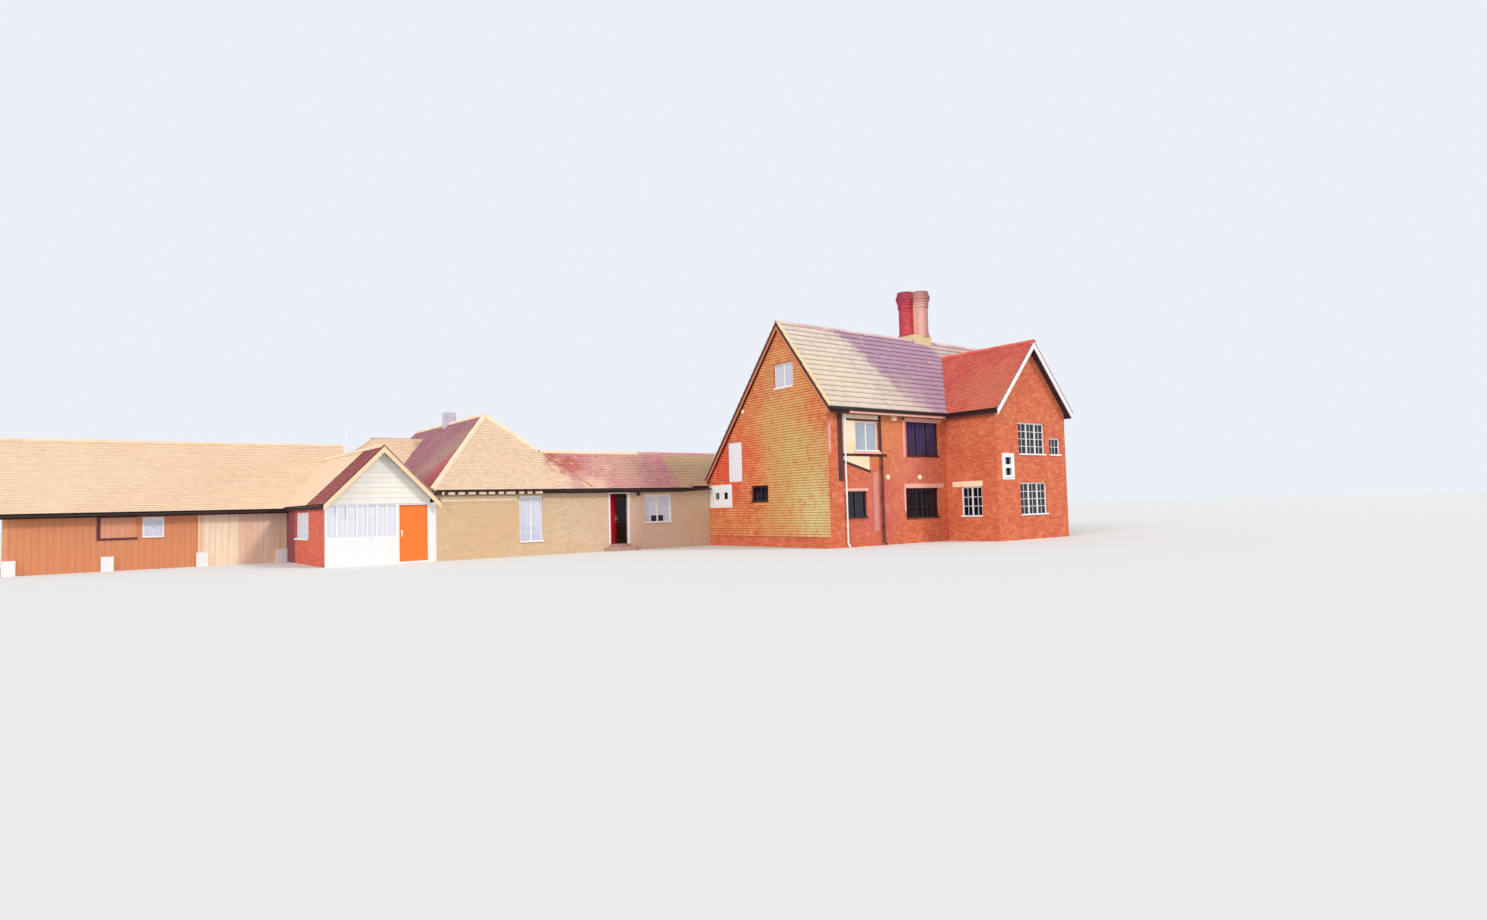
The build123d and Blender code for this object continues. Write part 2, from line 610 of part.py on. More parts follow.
def block_range():
    """Hipped block: its walls, slopes and chimney."""
    tall = block_roof.ridge_z
    front = yard_front.body(BLOCK_LEFT_X, BLOCK_RIGHT_X, 0, tall) & block_inner
    save("block_front_wall", cut_windows(yard_front, front, BLOCK_WINDOWS))
    save("block_left_wall", block_left.body(YARD_Y + RANGE_WALL, CART_Y, 0, tall) & block_inner)
    right = block_right.body(LINK_BACK_Y - RANGE_WALL, CART_BACK_Y - RANGE_WALL, 0, tall) & block_inner
    save("block_right_wall", cut_windows(block_right, right, BLOCK_RIGHT_WINDOWS))
    save("block_back_wall", block_back.body(BLOCK_LEFT_X, BLOCK_RIGHT_X, 0, tall) & block_inner)
    chimney = yard_chimney()
    save("block_front_hip_roof", block_roof.hip_slope(True))
    left = block_roof.low_slope() - tall_bay_inner - chimney
    save("block_left_roof", left)
    link_hollow = link_inner & box(block_roof.ridge, block_roof.high + FAR, link_roof.low,
                                   link_roof.high, 0, tall)
    save("block_right_roof", block_roof.high_slope() - link_hollow - chimney)
    save("block_chimney", chimney)


def yard_chimney():
    half = YARD_CHIMNEY / 2
    x = block_roof.ridge
    return box(x - half, x + half, YARD_CHIMNEY_Y - half, YARD_CHIMNEY_Y + half,
               block_roof.ridge_z - RANGE_ROOF_DROP - half, YARD_CHIMNEY_TOP_Z)


def porch_range():
    """Gabled range: brick side, front glazed over boards, and roof."""
    depth = DOOR_JAMB_DEPTH
    tall = porch_roof.ridge_z
    side = porch_left.body(YARD_Y + depth, CART_Y, 0, tall) & porch_inner
    save("porch_left_wall", cut_windows(porch_left, side, PORCH_WINDOWS))
    boards = box(PORCH_LEFT_X, BLOCK_LEFT_X, YARD_Y, YARD_Y + depth, PORCH_HEAD_Z, tall)
    save("porch_gable_boards", (boards & porch_inner) - block_outer)
    left = porch_roof.low_slope() - cart_outer - tall_bay_outer
    save("porch_left_roof", left - porch_bargeboard)
    right = porch_roof.high_slope() - cart_outer - tall_bay_outer - block_outer
    save("porch_right_roof", right - porch_bargeboard)
    save("porch_bargeboards", porch_bargeboard - block_outer)
    post = PORCH_DOOR_X - DOOR_JAMB
    screen = box(PORCH_LEFT_X, post, YARD_Y, YARD_Y + depth, 0, PORCH_HEAD_Z)
    pitch = (post - PORCH_LEFT_X - PORCH_UPRIGHT) / PORCH_LIGHTS
    panes = []
    middle = YARD_Y + (depth - GLASS) / 2
    for light in range(PORCH_LIGHTS):
        x = PORCH_LEFT_X + PORCH_UPRIGHT + light * pitch
        opening = (x, x + pitch - PORCH_UPRIGHT)
        heights = (PORCH_PANEL_Z, PORCH_HEAD_Z - FRAME_FACE)
        screen -= box(*opening, YARD_Y - depth, YARD_Y + 2 * depth, *heights)
        panes.append(box(*opening, middle, middle + GLASS, *heights))
    save("porch_glazed_front", screen & porch_inner)
    save("porch_glass", *panes)
    right_post = PORCH_DOOR_X + PORCH_DOOR_WIDTH
    frame = box(post, BLOCK_LEFT_X, YARD_Y, YARD_Y + depth, 0, PORCH_HEAD_Z)
    frame -= box(PORCH_DOOR_X, right_post, YARD_Y - depth, YARD_Y + 2 * depth, PORCH_FLOOR_Z,
                 PORCH_HEAD_Z - DOOR_JAMB)
    save("porch_door_frame", frame)


def cart_range():
    """Boarded range on posts, with the taller bay beside the block."""
    tall = cart_roof.ridge_z
    near = PORCH_LEFT_X
    front = cart_front.body(CART_LEFT_X + CART_WALL, near, 0, tall) & cart_inner
    front = cut_windows(cart_front, front, CART_WINDOWS)
    save("cart_front_wall", front)
    back = cart_back.body(CART_LEFT_X + CART_WALL, BLOCK_LEFT_X, 0, tall) & cart_inner
    save("cart_back_wall", cut_windows(cart_back, back, CART_BACK_WINDOWS))
    save("cart_left_gable", cart_left.body(CART_Y, CART_BACK_Y, 0, tall) & cart_inner)
    floor = box(CART_LEFT_X + CART_WALL, BLOCK_LEFT_X, CART_Y + CART_WALL,
                CART_BACK_Y - CART_WALL, 0, PORCH_FLOOR_Z)
    floor += box(BLOCK_LEFT_X, BLOCK_LEFT_X + RANGE_WALL, CART_Y, CART_BACK_Y - RANGE_WALL,
                 0, PORCH_FLOOR_Z)
    floor += box(PORCH_LEFT_X + RANGE_WALL, BLOCK_LEFT_X, YARD_Y + DOOR_JAMB_DEPTH,
                 CART_Y + CART_WALL, 0, PORCH_FLOOR_Z)
    save("porch_and_cart_floor", floor)
    save("cart_front_roof", cart_roof.low_slope() - porch_hollow)
    tall_front = tall_bay_roof.low_slope() - block_outer - cart_outer
    save("tall_bay_front_roof", tall_front - porch_hollow)
    past_block = box(block_roof.low, block_roof.high, block_roof.end, block_roof.end + FAR,
                     0, tall_bay_roof.ridge_z)
    tall_back = tall_bay_roof.high_slope() - block_outer - cart_outer - past_block
    save("cart_back_roof", cart_roof.high_slope() + tall_back)
    save("tall_bay_hip_roof", tall_bay_roof.hip_slope(True) - cart_outer - porch_hollow)
    save("cart_hatch", box(HATCH_X, HATCH_X + HATCH_WIDTH, CART_Y - HATCH_THICKNESS, CART_Y,
                           HATCH_Z, HATCH_Z + HATCH_HEIGHT))
    blocks = []
    for bay in range(CART_BAYS + 1):
        left = CART_LEFT_X + bay * CART_BAY - POST_BLOCK_WIDTH / 2
        left = min(max(left, CART_LEFT_X), PORCH_LEFT_X - POST_BLOCK_WIDTH)
        blocks.append(box(left, left + POST_BLOCK_WIDTH, CART_Y - POST_BLOCK_OUT, CART_Y,
                          0, POST_BLOCK_HEIGHT))
    save("cart_post_blocks", *blocks)


def hinged_leaf(x0, width, z0, height, back_y, sign, turned):
    """A door leaf with two strap eyes, and the pins and lugs that carry it.

    x0 is the hinge jamb's face and sign the way the leaf runs from it. The
    leaf is drawn turned inwards by that many degrees about its axis.
    """
    axis_x = x0 + sign * DOOR_GAP
    axis_y = back_y + HINGE_EYE_OFF_LEAF + HINGE_EYE_R
    leaf_end = x0 + sign * (width - DOOR_GAP)

    def span(a, b, y0, y1, low, high):
        return box(min(a, b), max(a, b), y0, y1, low, high)

    leaf = span(axis_x, leaf_end, back_y - DOOR_THICKNESS, back_y, z0 + DOOR_GAP,
                z0 + height - DOOR_GAP)
    fixed = []
    for centre in (z0 + HINGE_INSET, z0 + height - HINGE_INSET):
        low = centre - HINGE_EYE_HEIGHT / 2
        high = centre + HINGE_EYE_HEIGHT / 2
        strap_low = centre - HINGE_STRAP_HEIGHT / 2
        leaf += span(axis_x, axis_x + sign * HINGE_STRAP, back_y, back_y + HINGE_STRAP_THICKNESS,
                     strap_low, strap_low + HINGE_STRAP_HEIGHT)
        leaf += upright_cylinder(axis_x, axis_y, low, high, HINGE_EYE_R)
        leaf -= upright_cylinder(axis_x, axis_y, low - HINGE_EYE_HEIGHT, high + HINGE_EYE_HEIGHT,
                                 HINGE_PIN_R + HINGE_RUNNING_GAP)
        lug_top = low - HINGE_RUNNING_GAP
        lug_low = lug_top - HINGE_LUG_HEIGHT
        plate_end = x0 - sign * HINGE_PLATE
        lug = span(x0, plate_end, back_y, axis_y + HINGE_PIN_R, lug_low, lug_top)
        lug += span(plate_end, axis_x, axis_y - HINGE_PIN_R, axis_y + HINGE_PIN_R, lug_low, lug_top)
        lug += upright_cylinder(axis_x, axis_y, lug_low, high, HINGE_PIN_R)
        fixed.append(lug)
    axis = Axis((axis_x, axis_y, 0), (0, 0, 1))
    return leaf.rotate(axis, sign * turned), fixed, (axis_x, axis_y)


def doors():
    """The two plank doors and what carries them."""
    back_y = YARD_Y + DOOR_SET_BACK + DOOR_THICKNESS
    x1 = LINK_DOOR_X + LINK_DOOR_WIDTH
    head = GROUND_FLOOR_Z + LINK_DOOR_HEIGHT
    frame = box(LINK_DOOR_X - DOOR_JAMB, x1 + DOOR_JAMB, YARD_Y, back_y, GROUND_FLOOR_Z,
                head + DOOR_JAMB)
    frame -= box(LINK_DOOR_X, x1, YARD_Y - FAR, YARD_Y + FAR, GROUND_FLOOR_Z - FAR, head)
    leaf, pins, axis = hinged_leaf(LINK_DOOR_X, LINK_DOOR_WIDTH, GROUND_FLOOR_Z,
                                   LINK_DOOR_HEIGHT, back_y, 1, LINK_DOOR_OPEN)
    save("link_door_frame", frame)
    save("link_door", leaf)
    link_pins = pins
    print("link door axis", axis[0] - CENTRE.X, axis[1] - CENTRE.Y)
    back_y = YARD_Y + DOOR_JAMB_DEPTH
    leaf, pins, axis = hinged_leaf(PORCH_DOOR_X + PORCH_DOOR_WIDTH, PORCH_DOOR_WIDTH, PORCH_FLOOR_Z,
                                   PORCH_HEAD_Z - DOOR_JAMB - PORCH_FLOOR_Z, back_y, -1, 0)
    save("porch_door", leaf)
    save("door_pins", *link_pins, *pins)
    print("porch door axis", axis[0] - CENTRE.X, axis[1] - CENTRE.Y)


def windows():
    """Every window's frame and glass, and the loft door in the gable."""
    save_windows("house", [(house_front, FRONT_WINDOWS), (house_left, GABLE_WINDOWS),
                           (house_back, BACK_WINDOWS), (house_right, RIGHT_WINDOWS),
                           (wing_front, WING_WINDOWS), (wing_left, WING_SIDE_WINDOWS)])
    save_windows("yard", [(yard_front, LINK_WINDOWS + BLOCK_WINDOWS),
                          (link_back, LINK_BACK_WINDOWS), (block_right, BLOCK_RIGHT_WINDOWS),
                          (porch_left, PORCH_WINDOWS), (cart_front, CART_WINDOWS),
                          (cart_back, CART_BACK_WINDOWS)])
    u0, u1, z0, z1 = LOFT_DOOR
    save("loft_door", house_left.block(u0, u1, LOFT_DOOR_SET_BACK,
                                       LOFT_DOOR_SET_BACK + LOFT_DOOR_THICKNESS, z0, z1))


os.makedirs("parts", exist_ok=True)
house_walls()
wing_walls()
house_floors()
house_chimney()
house_roofs()
link_range()
block_range()
porch_range()
cart_range()
doors()
windows()
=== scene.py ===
import bpy
import json
import math
import numpy as np
from mathutils import Matrix, Vector

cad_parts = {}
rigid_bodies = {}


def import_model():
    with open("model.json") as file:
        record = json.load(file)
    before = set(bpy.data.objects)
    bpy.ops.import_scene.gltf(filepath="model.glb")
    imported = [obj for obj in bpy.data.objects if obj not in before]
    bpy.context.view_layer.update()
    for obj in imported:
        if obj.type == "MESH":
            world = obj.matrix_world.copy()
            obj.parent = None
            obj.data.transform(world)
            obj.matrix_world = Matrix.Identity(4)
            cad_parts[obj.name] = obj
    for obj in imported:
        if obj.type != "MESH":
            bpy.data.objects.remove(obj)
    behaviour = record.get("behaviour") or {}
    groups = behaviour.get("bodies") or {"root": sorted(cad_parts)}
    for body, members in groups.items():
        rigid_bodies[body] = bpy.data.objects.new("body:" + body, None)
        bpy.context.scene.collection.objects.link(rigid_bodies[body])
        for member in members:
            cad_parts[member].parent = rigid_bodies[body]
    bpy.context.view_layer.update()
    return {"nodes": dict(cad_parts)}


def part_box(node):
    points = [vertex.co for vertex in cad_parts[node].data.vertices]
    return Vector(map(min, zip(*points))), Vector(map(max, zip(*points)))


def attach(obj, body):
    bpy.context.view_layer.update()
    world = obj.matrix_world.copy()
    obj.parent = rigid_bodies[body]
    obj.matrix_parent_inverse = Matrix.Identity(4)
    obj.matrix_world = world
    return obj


# Looks of the old farmhouse: tiled slopes, hung gable, brick, boards, joinery and the yard's fittings.
# Lengths are metres, in the same frame as the solids.
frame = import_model()
nodes = frame["nodes"]
rng = np.random.default_rng(11)

# A tile is a quarter longer than what shows of it, and the lowest course hangs past the eave
TILE_COVER = 1.25
TILE_LIP = 0.045
TILE_CORNERS = 8

# Length and radius of a ridge tile
CAP_TILE = 0.33
RIDGE_RADIUS = 0.115

# Ground level of the house, above the porch's lower ground
HOUSE_GROUND = 0.24

X = 0
Y = 1
NORTH = (0, 1, 0)
SOUTH = (0, -1, 0)
EAST = (1, 0, 0)
WEST = (-1, 0, 0)

house_low, house_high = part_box("left_gable_wall")
HOUSE_X = house_low.x
HOUSE_Y = house_low.y


def site(along, back, up):
    """A place measured from the house's front left corner and the ground there."""
    return Vector((HOUSE_X + along, HOUSE_Y + back, HOUSE_GROUND + up))


YARD_FRONT = house_high.y - HOUSE_Y


# Painting kit
def srgb(red, green, blue):
    """A paint-chart colour in linear light."""
    channels = []
    for value in (red, green, blue):
        part = value / 255
        channels.append(part / 12.92 if part <= 0.04045 else ((part + 0.055) / 1.055) ** 2.4)
    return (*channels, 1.0)


def add(tree, kind, values=None, settings=None):
    """One node, with its inputs set or linked by name or number."""
    made = tree.nodes.new(kind)
    for name, value in (settings or {}).items():
        setattr(made, name, value)
    for key, value in (values or {}).items():
        if isinstance(value, bpy.types.NodeSocket):
            tree.links.new(value, made.inputs[key])
        else:
            made.inputs[key].default_value = value
    return made


def calc(tree, operation, first, second=0.0, clamp=False):
    return add(tree, "ShaderNodeMath", {0: first, 1: second},
               {"operation": operation, "use_clamp": clamp}).outputs[0]


def remap(tree, value, low, high, to_low=0.0, to_high=1.0):
    return add(tree, "ShaderNodeMapRange", {"Value": value, "From Min": low, "From Max": high,
                                            "To Min": to_low, "To Max": to_high}).outputs[0]


def mix(tree, share, first, second):
    return add(tree, "ShaderNodeMix", {0: share, 6: first, 7: second}, {"data_type": "RGBA"}).outputs[2]


def axes(tree, place):
    """The three parts of a place or a direction."""
    return add(tree, "ShaderNodeSeparateXYZ", {0: place}).outputs


def vector(tree, operation, first, second):
    return add(tree, "ShaderNodeVectorMath", {0: first, 1: second}, {"operation": operation}).outputs


def wash(tree, body, mask, share, colour):
    """A thin coat of a colour over the body, where a mask comes up."""
    return mix(tree, calc(tree, "MULTIPLY", mask, share), body, srgb(*colour))


def deeper(colour, share):
    """A darker paint-chart colour of the same hue."""
    return [int(part * share) for part in colour]


def within(tree, place, low, high, soft=0.01):
    """A mask that is one inside a box of places."""
    parts = axes(tree, place)
    mask = None
    for axis in range(3):
        for edge, sign in ((low[axis], 1), (high[axis], -1)):
            side = remap(tree, parts[axis], edge - soft * sign, edge + soft * sign)
            mask = side if mask is None else calc(tree, "MULTIPLY", mask, side)
    return mask


def ragged(tree, place, reach, rough):
    """A distance that swings either way, so that an edge drawn by it is broken up."""
    swing = calc(tree, "SUBTRACT", noise(tree, place, 1.1, 9.0, 0.8), 0.5)
    return calc(tree, "ADD", reach, calc(tree, "MULTIPLY", swing, rough))


def beyond(tree, place, start, towards, soft=0.25, rough=3.0):
    """A mask that comes up past a ragged line, on the side a direction points to."""
    apart = vector(tree, "SUBTRACT", place, start)[0]
    run = vector(tree, "DOT_PRODUCT", apart, Vector(towards).normalized())["Value"]
    return remap(tree, ragged(tree, place, run, rough), -soft, soft)


def near(tree, place, centre, radius, rough=4.5):
    """A ragged mask that fades out round a place."""
    far = vector(tree, "DISTANCE", place, centre)["Value"]
    return remap(tree, ragged(tree, place, far, rough), radius * 1.6, radius * 0.4)


def noise(tree, place, scale, detail=3.0, rough=0.55):
    return add(tree, "ShaderNodeTexNoise", {"Vector": place, "Scale": scale, "Detail": detail,
                                            "Roughness": rough}).outputs["Fac"]


def mottled(tree, place, body, pale, dark, share, scale=2.6):
    """A colour broken up by ragged pale and dark patches."""
    light = remap(tree, noise(tree, place, scale, 8.0, 0.8), 0.52, 0.68, 0.0, share)
    finer = stretch(tree, place, (1.7, 1.7, 1.7))
    deep = remap(tree, noise(tree, finer, scale, 8.0, 0.8), 0.54, 0.7, 0.0, share)
    return mix(tree, deep, mix(tree, light, body, pale), dark)


def stretch(tree, place, scale):
    return add(tree, "ShaderNodeMapping", {"Vector": place, "Scale": scale}).outputs[0]


def group(name, wants, gives):
    """An empty node group with named inputs and outputs."""
    tree = bpy.data.node_groups.new(name, "ShaderNodeTree")
    for title, kind, value in wants:
        socket = tree.interface.new_socket(title, in_out="INPUT", socket_type=kind)
        if value is not None:
            socket.default_value = value
    for title, kind in gives:
        tree.interface.new_socket(title, in_out="OUTPUT", socket_type=kind)
    return tree, tree.nodes.new("NodeGroupInput").outputs, tree.nodes.new("NodeGroupOutput").inputs


def use(tree, effect, values):
    """The outputs of a node group at work in a finish."""
    return add(tree, "ShaderNodeGroup", values, {"node_tree": effect}).outputs


FLOAT = "NodeSocketFloat"
VECTOR = "NodeSocketVector"


def build_brickwork():
    """Stretcher courses on any upright face: tone of each brick, joint mask and height."""
    tree, want, give = group("brick_courses", [("Place", VECTOR, None), ("Facing", VECTOR, None),
                                               ("Length", FLOAT, 0.225), ("Course", FLOAT, 0.075)],
                             [("Tone", FLOAT), ("Joint", FLOAT), ("Height", FLOAT)])
    place = axes(tree, want["Place"])
    facing = axes(tree, want["Facing"])
    across = calc(tree, "SUBTRACT", calc(tree, "MULTIPLY", place[1], facing[0]),
                  calc(tree, "MULTIPLY", place[0], facing[1]))
    spot = add(tree, "ShaderNodeCombineXYZ", {0: across, 1: place[2]}).outputs[0]
    wobble = noise(tree, want["Place"], 9.0, 2.0)
    spot = vector(tree, "ADD", spot, calc(tree, "MULTIPLY", wobble, 0.002))[0]
    bricks = add(tree, "ShaderNodeTexBrick", {"Vector": spot, "Scale": 1.0, "Mortar Size": 0.006,
                                              "Mortar Smooth": 0.3, "Bias": 0.0,
                                              "Brick Width": want["Length"],
                                              "Row Height": want["Course"],
                                              "Color1": (0, 0, 0, 1), "Color2": (1, 1, 1, 1),
                                              "Mortar": (0.5, 0.5, 0.5, 1)})
    tree.links.new(bricks.outputs["Color"], give["Tone"])
    tree.links.new(bricks.outputs["Fac"], give["Joint"])
    grain = noise(tree, want["Place"], 60.0, 3.0)
    face = calc(tree, "SUBTRACT", 1.0, bricks.outputs["Fac"])
    tree.links.new(calc(tree, "ADD", calc(tree, "MULTIPLY", face, 0.8),
                        calc(tree, "MULTIPLY", grain, 0.2)), give["Height"])
    return tree


def build_weather():
    """Broad patches, lichen spots and rain streaks on an old outside face."""
    tree, want, give = group("weather", [("Place", VECTOR, None), ("Lichen", FLOAT, 0.3),
                                         ("Patch Size", FLOAT, 1.0)],
                             [("Patch", FLOAT), ("Lichen", FLOAT), ("Streak", FLOAT)])
    scale = calc(tree, "DIVIDE", 1.0, want["Patch Size"])
    broad = noise(tree, want["Place"], scale, 4.0, 0.6)
    tree.links.new(remap(tree, broad, 0.35, 0.65), give["Patch"])
    cover = noise(tree, stretch(tree, want["Place"], (1.0, 1.0, 0.6)), 0.55, 5.0, 0.65)
    spots = noise(tree, want["Place"], 14.0, 3.0, 0.7)
    both = calc(tree, "ADD", calc(tree, "MULTIPLY", cover, 0.75), calc(tree, "MULTIPLY", spots, 0.25))
    edge = calc(tree, "SUBTRACT", 0.72, calc(tree, "MULTIPLY", want["Lichen"], 0.35))
    tree.links.new(calc(tree, "MULTIPLY", calc(tree, "SUBTRACT", both, edge), 9.0, True), give["Lichen"])
    runs = noise(tree, stretch(tree, want["Place"], (6.0, 6.0, 0.35)), 1.0, 4.0, 0.6)
    tree.links.new(remap(tree, runs, 0.45, 0.75), give["Streak"])
    return tree


def build_grain():
    """Long wood grain with fine fibres along one axis."""
    tree, want, give = group("wood_grain", [("Place", VECTOR, None), ("Along", VECTOR, None)],
                             [("Figure", FLOAT), ("Fibre", FLOAT)])
    place = vector(tree, "MULTIPLY", want["Place"], want["Along"])[0]
    tree.links.new(noise(tree, place, 9.0, 4.0, 0.6), give["Figure"])
    tree.links.new(noise(tree, place, 60.0, 3.0, 0.6), give["Fibre"])
    return tree


brick_courses = build_brickwork()
weather = build_weather()
wood_grain = build_grain()


class Finish:
    """A material under way: its tree, place coordinates and shader."""

    def __init__(self, name, rough=0.8):
        self.material = bpy.data.materials.new(name)
        self.material.use_nodes = True
        self.tree = self.material.node_tree
        self.shader = self.tree.nodes["Principled BSDF"]
        self.shader.inputs["Roughness"].default_value = rough
        coordinates = self.tree.nodes.new("ShaderNodeTexCoord")
        self.place = coordinates.outputs["Object"]
        self.facing = coordinates.outputs["Normal"]

    def colour(self, socket):
        self.tree.links.new(socket, self.shader.inputs["Base Color"])

    def painted(self):
        """The colour as it stands so far."""
        return self.shader.inputs["Base Color"].links[0].from_socket

    def roughness(self, socket):
        self.tree.links.new(socket, self.shader.inputs["Roughness"])

    def bump(self, height, distance, strength=1.0):
        made = add(self.tree, "ShaderNodeBump", {"Height": height, "Distance": distance,
                                                 "Strength": strength})
        self.tree.links.new(made.outputs[0], self.shader.inputs["Normal"])


def brick_finish(name, pale, main, dark, joint, lichen=0.15, lichen_colour=(150, 140, 80), contrast=0.3,
                 mottle=0.6, stains=(), boxes=()):
    """Hand-made bricks in lime mortar, patchy and weathered."""
    finish = Finish(name, 0.9)
    tree = finish.tree
    courses = use(tree, brick_courses, {"Place": finish.place, "Facing": finish.facing})
    worn = use(tree, weather, {"Place": finish.place, "Lichen": lichen})
    body = mix(tree, remap(tree, courses["Tone"], 0.1, 0.5, 1.0 - contrast, 1.0), srgb(*dark), srgb(*main))
    body = mix(tree, remap(tree, courses["Tone"], 0.5, 1.0, 0.0, contrast), body, srgb(*pale))
    for centre, radius, share, colour in stains:
        body = wash(tree, body, near(tree, finish.place, centre, radius), share, colour)
    body = mottled(tree, finish.place, body, srgb(*pale), srgb(*dark), mottle)
    for low, high, share, colour in boxes:
        body = wash(tree, body, within(tree, finish.place, low, high, 0.03), share, colour)
    body = wash(tree, body, courses["Joint"], 0.4, joint)
    body = wash(tree, body, worn["Lichen"], 0.5, lichen_colour)
    finish.colour(body)
    finish.bump(courses["Height"], 0.008)
    return finish


def tile_finish(name, pale, main, dark, lichen=0.3, lichen_colour=(200, 190, 110), patch=2.2, edge=0.5,
                spread=0.5, mottle=0.3, stains=(), sides=()):
    """Hand-made clay tiles, each with its own burn, greyed and spotted, their lower edges darker, partly
    weathering and partly painted shade.
    """
    finish = Finish(name, 0.85)
    tree = finish.tree
    tone = add(tree, "ShaderNodeAttribute", {}, {"attribute_name": "tile_tone"}).outputs["Fac"]
    foot = add(tree, "ShaderNodeAttribute", {}, {"attribute_name": "tile_edge"}).outputs["Fac"]
    worn = use(tree, weather, {"Place": finish.place, "Lichen": lichen, "Patch Size": patch})
    body = mix(tree, remap(tree, tone, 0.0, 0.5, 1.0 - 2.0 * spread, 1.0), srgb(*dark), srgb(*main))
    body = mix(tree, remap(tree, tone, 0.5, 1.0, 0.0, 2.0 * spread), body, srgb(*pale))
    body = wash(tree, body, worn["Patch"], 0.4, pale)
    facing = axes(tree, finish.facing)
    for start, towards, share, colour in sides:
        burnt = srgb(*deeper(colour, 0.86))
        varied = mix(tree, remap(tree, tone, 0.2, 0.9, 0.0, 0.5), srgb(*colour), burnt)
        part = calc(tree, "MULTIPLY", beyond(tree, finish.place, start, towards), share)
        body = mix(tree, calc(tree, "MULTIPLY", part, remap(tree, facing[1], 0.0, -0.1)), body, varied)
    for centre, radius, share, colour in stains:
        body = wash(tree, body, near(tree, finish.place, centre, radius), share, colour)
    body = mottled(tree, finish.place, body, srgb(*pale), srgb(*dark), mottle)
    body = wash(tree, body, worn["Lichen"], 0.6, lichen_colour)
    # Painted shade along the courses: the down-facing butts and the lowest part of each tile (partly
    # weathering) are darkened, as strongly as edge says
    painted_butt_shade = remap(tree, facing[2], -0.2, -0.5)
    line = calc(tree, "MAXIMUM", painted_butt_shade, remap(tree, foot, 0.72, 0.95, 0.0, 0.8))
    body = wash(tree, body, line, edge, deeper(dark, 0.42))
    finish.colour(body)
    finish.bump(noise(tree, finish.place, 45.0, 4.0, 0.6), 0.004)
    return finish


def beyond_valley(finish, pale, dark):
    """The far part of the porch's left slope, pale like the range behind, past a dark valley band of painted
    shade.
    """
    tree = finish.tree
    place = axes(tree, finish.place)
    slant = calc(tree, "MULTIPLY", calc(tree, "SUBTRACT", place[0], VALLEY_FOOT.x), VALLEY_SLANT)
    line = calc(tree, "SUBTRACT", calc(tree, "SUBTRACT", place[1], VALLEY_FOOT.y), slant)
    old = finish.painted()
    # Painted shade: a dark band along the valley line
    body = mix(tree, remap(tree, line, -0.02, 0.02), old, srgb(*dark))
    far = mottled(tree, finish.place, srgb(*pale), srgb(255, 242, 224), srgb(*deeper(pale, 0.88)), 0.3)
    finish.colour(mix(tree, remap(tree, line, 0.14, 0.2), body, far))
    return finish


def paint_finish(name, colour, dirt=(150, 140, 120), amount=0.25, rough=0.45, stained=(), stain=(58, 38, 34)):
    """Brushed gloss over wood, thinner and dirtier in streaks, with other boxes stained dark."""
    finish = Finish(name, rough)
    tree = finish.tree
    worn = use(tree, weather, {"Place": finish.place, "Lichen": 0.1, "Patch Size": 0.5})
    grain = use(tree, wood_grain, {"Place": finish.place, "Along": (1.0, 1.0, 0.12)})
    body = mix(tree, calc(tree, "MULTIPLY", worn["Streak"], amount), srgb(*colour), srgb(*dirt))
    body = wash(tree, body, grain["Figure"], amount * 0.4, dirt)
    for low, high in stained:
        old = mix(tree, grain["Figure"], srgb(*stain), srgb(*deeper(stain, 0.5)))
        body = mix(tree, within(tree, finish.place, low, high), body, old)
    finish.colour(body)
    finish.roughness(remap(tree, worn["Patch"], 0.0, 1.0, rough - 0.08, rough + 0.15))
    finish.bump(grain["Fibre"], 0.001)
    return finish.material


def board_finish(name, pale, main, dark, width, axis, along, rough=0.85, joint=0.012, gap_share=0.75,
                 stains=(), above=None):
    """Boards side by side across one axis, each with its own shade, grain and a dark joint."""
    finish = Finish(name, rough)
    tree = finish.tree
    place = axes(tree, finish.place)
    count = calc(tree, "DIVIDE", place[axis], width)
    board = calc(tree, "FLOOR", count)
    shade = add(tree, "ShaderNodeTexWhiteNoise", {"W": board}, {"noise_dimensions": "1D"}).outputs[0]
    across = calc(tree, "SUBTRACT", count, board)
    edge = calc(tree, "MINIMUM", across, calc(tree, "SUBTRACT", 1.0, across))
    gap = remap(tree, edge, joint / width * 0.4, joint / width, 1.0, 0.0)
    offset = add(tree, "ShaderNodeCombineXYZ", {0: calc(tree, "MULTIPLY", board, 3.7),
                                                1: calc(tree, "MULTIPLY", board, 1.9),
                                                2: calc(tree, "MULTIPLY", board, 5.3)}).outputs[0]
    moved = vector(tree, "ADD", finish.place, offset)[0]
    grain = use(tree, wood_grain, {"Place": moved, "Along": along})
    worn = use(tree, weather, {"Place": finish.place, "Lichen": 0.1, "Patch Size": 1.4})
    body = mix(tree, shade, srgb(*main), srgb(*pale))
    body = mix(tree, remap(tree, grain["Figure"], 0.35, 0.7, 0.0, 0.6), body, srgb(*dark))
    body = wash(tree, body, worn["Patch"], 0.35, pale)
    body = wash(tree, body, worn["Streak"], 0.25, dark)
    for low, high, share, colour in stains:
        body = wash(tree, body, within(tree, finish.place, low, high, 0.06), share, colour)
    body = wash(tree, body, gap, gap_share, deeper(dark, 0.35))
    if above:
        facing = axes(tree, finish.facing)
        body = mix(tree, remap(tree, facing[2], 0.2, 0.3), body, srgb(*above))
    finish.colour(body)
    height = calc(tree, "SUBTRACT", calc(tree, "MULTIPLY", grain["Fibre"], 0.3), gap)
    finish.bump(height, 0.006)
    return finish.material


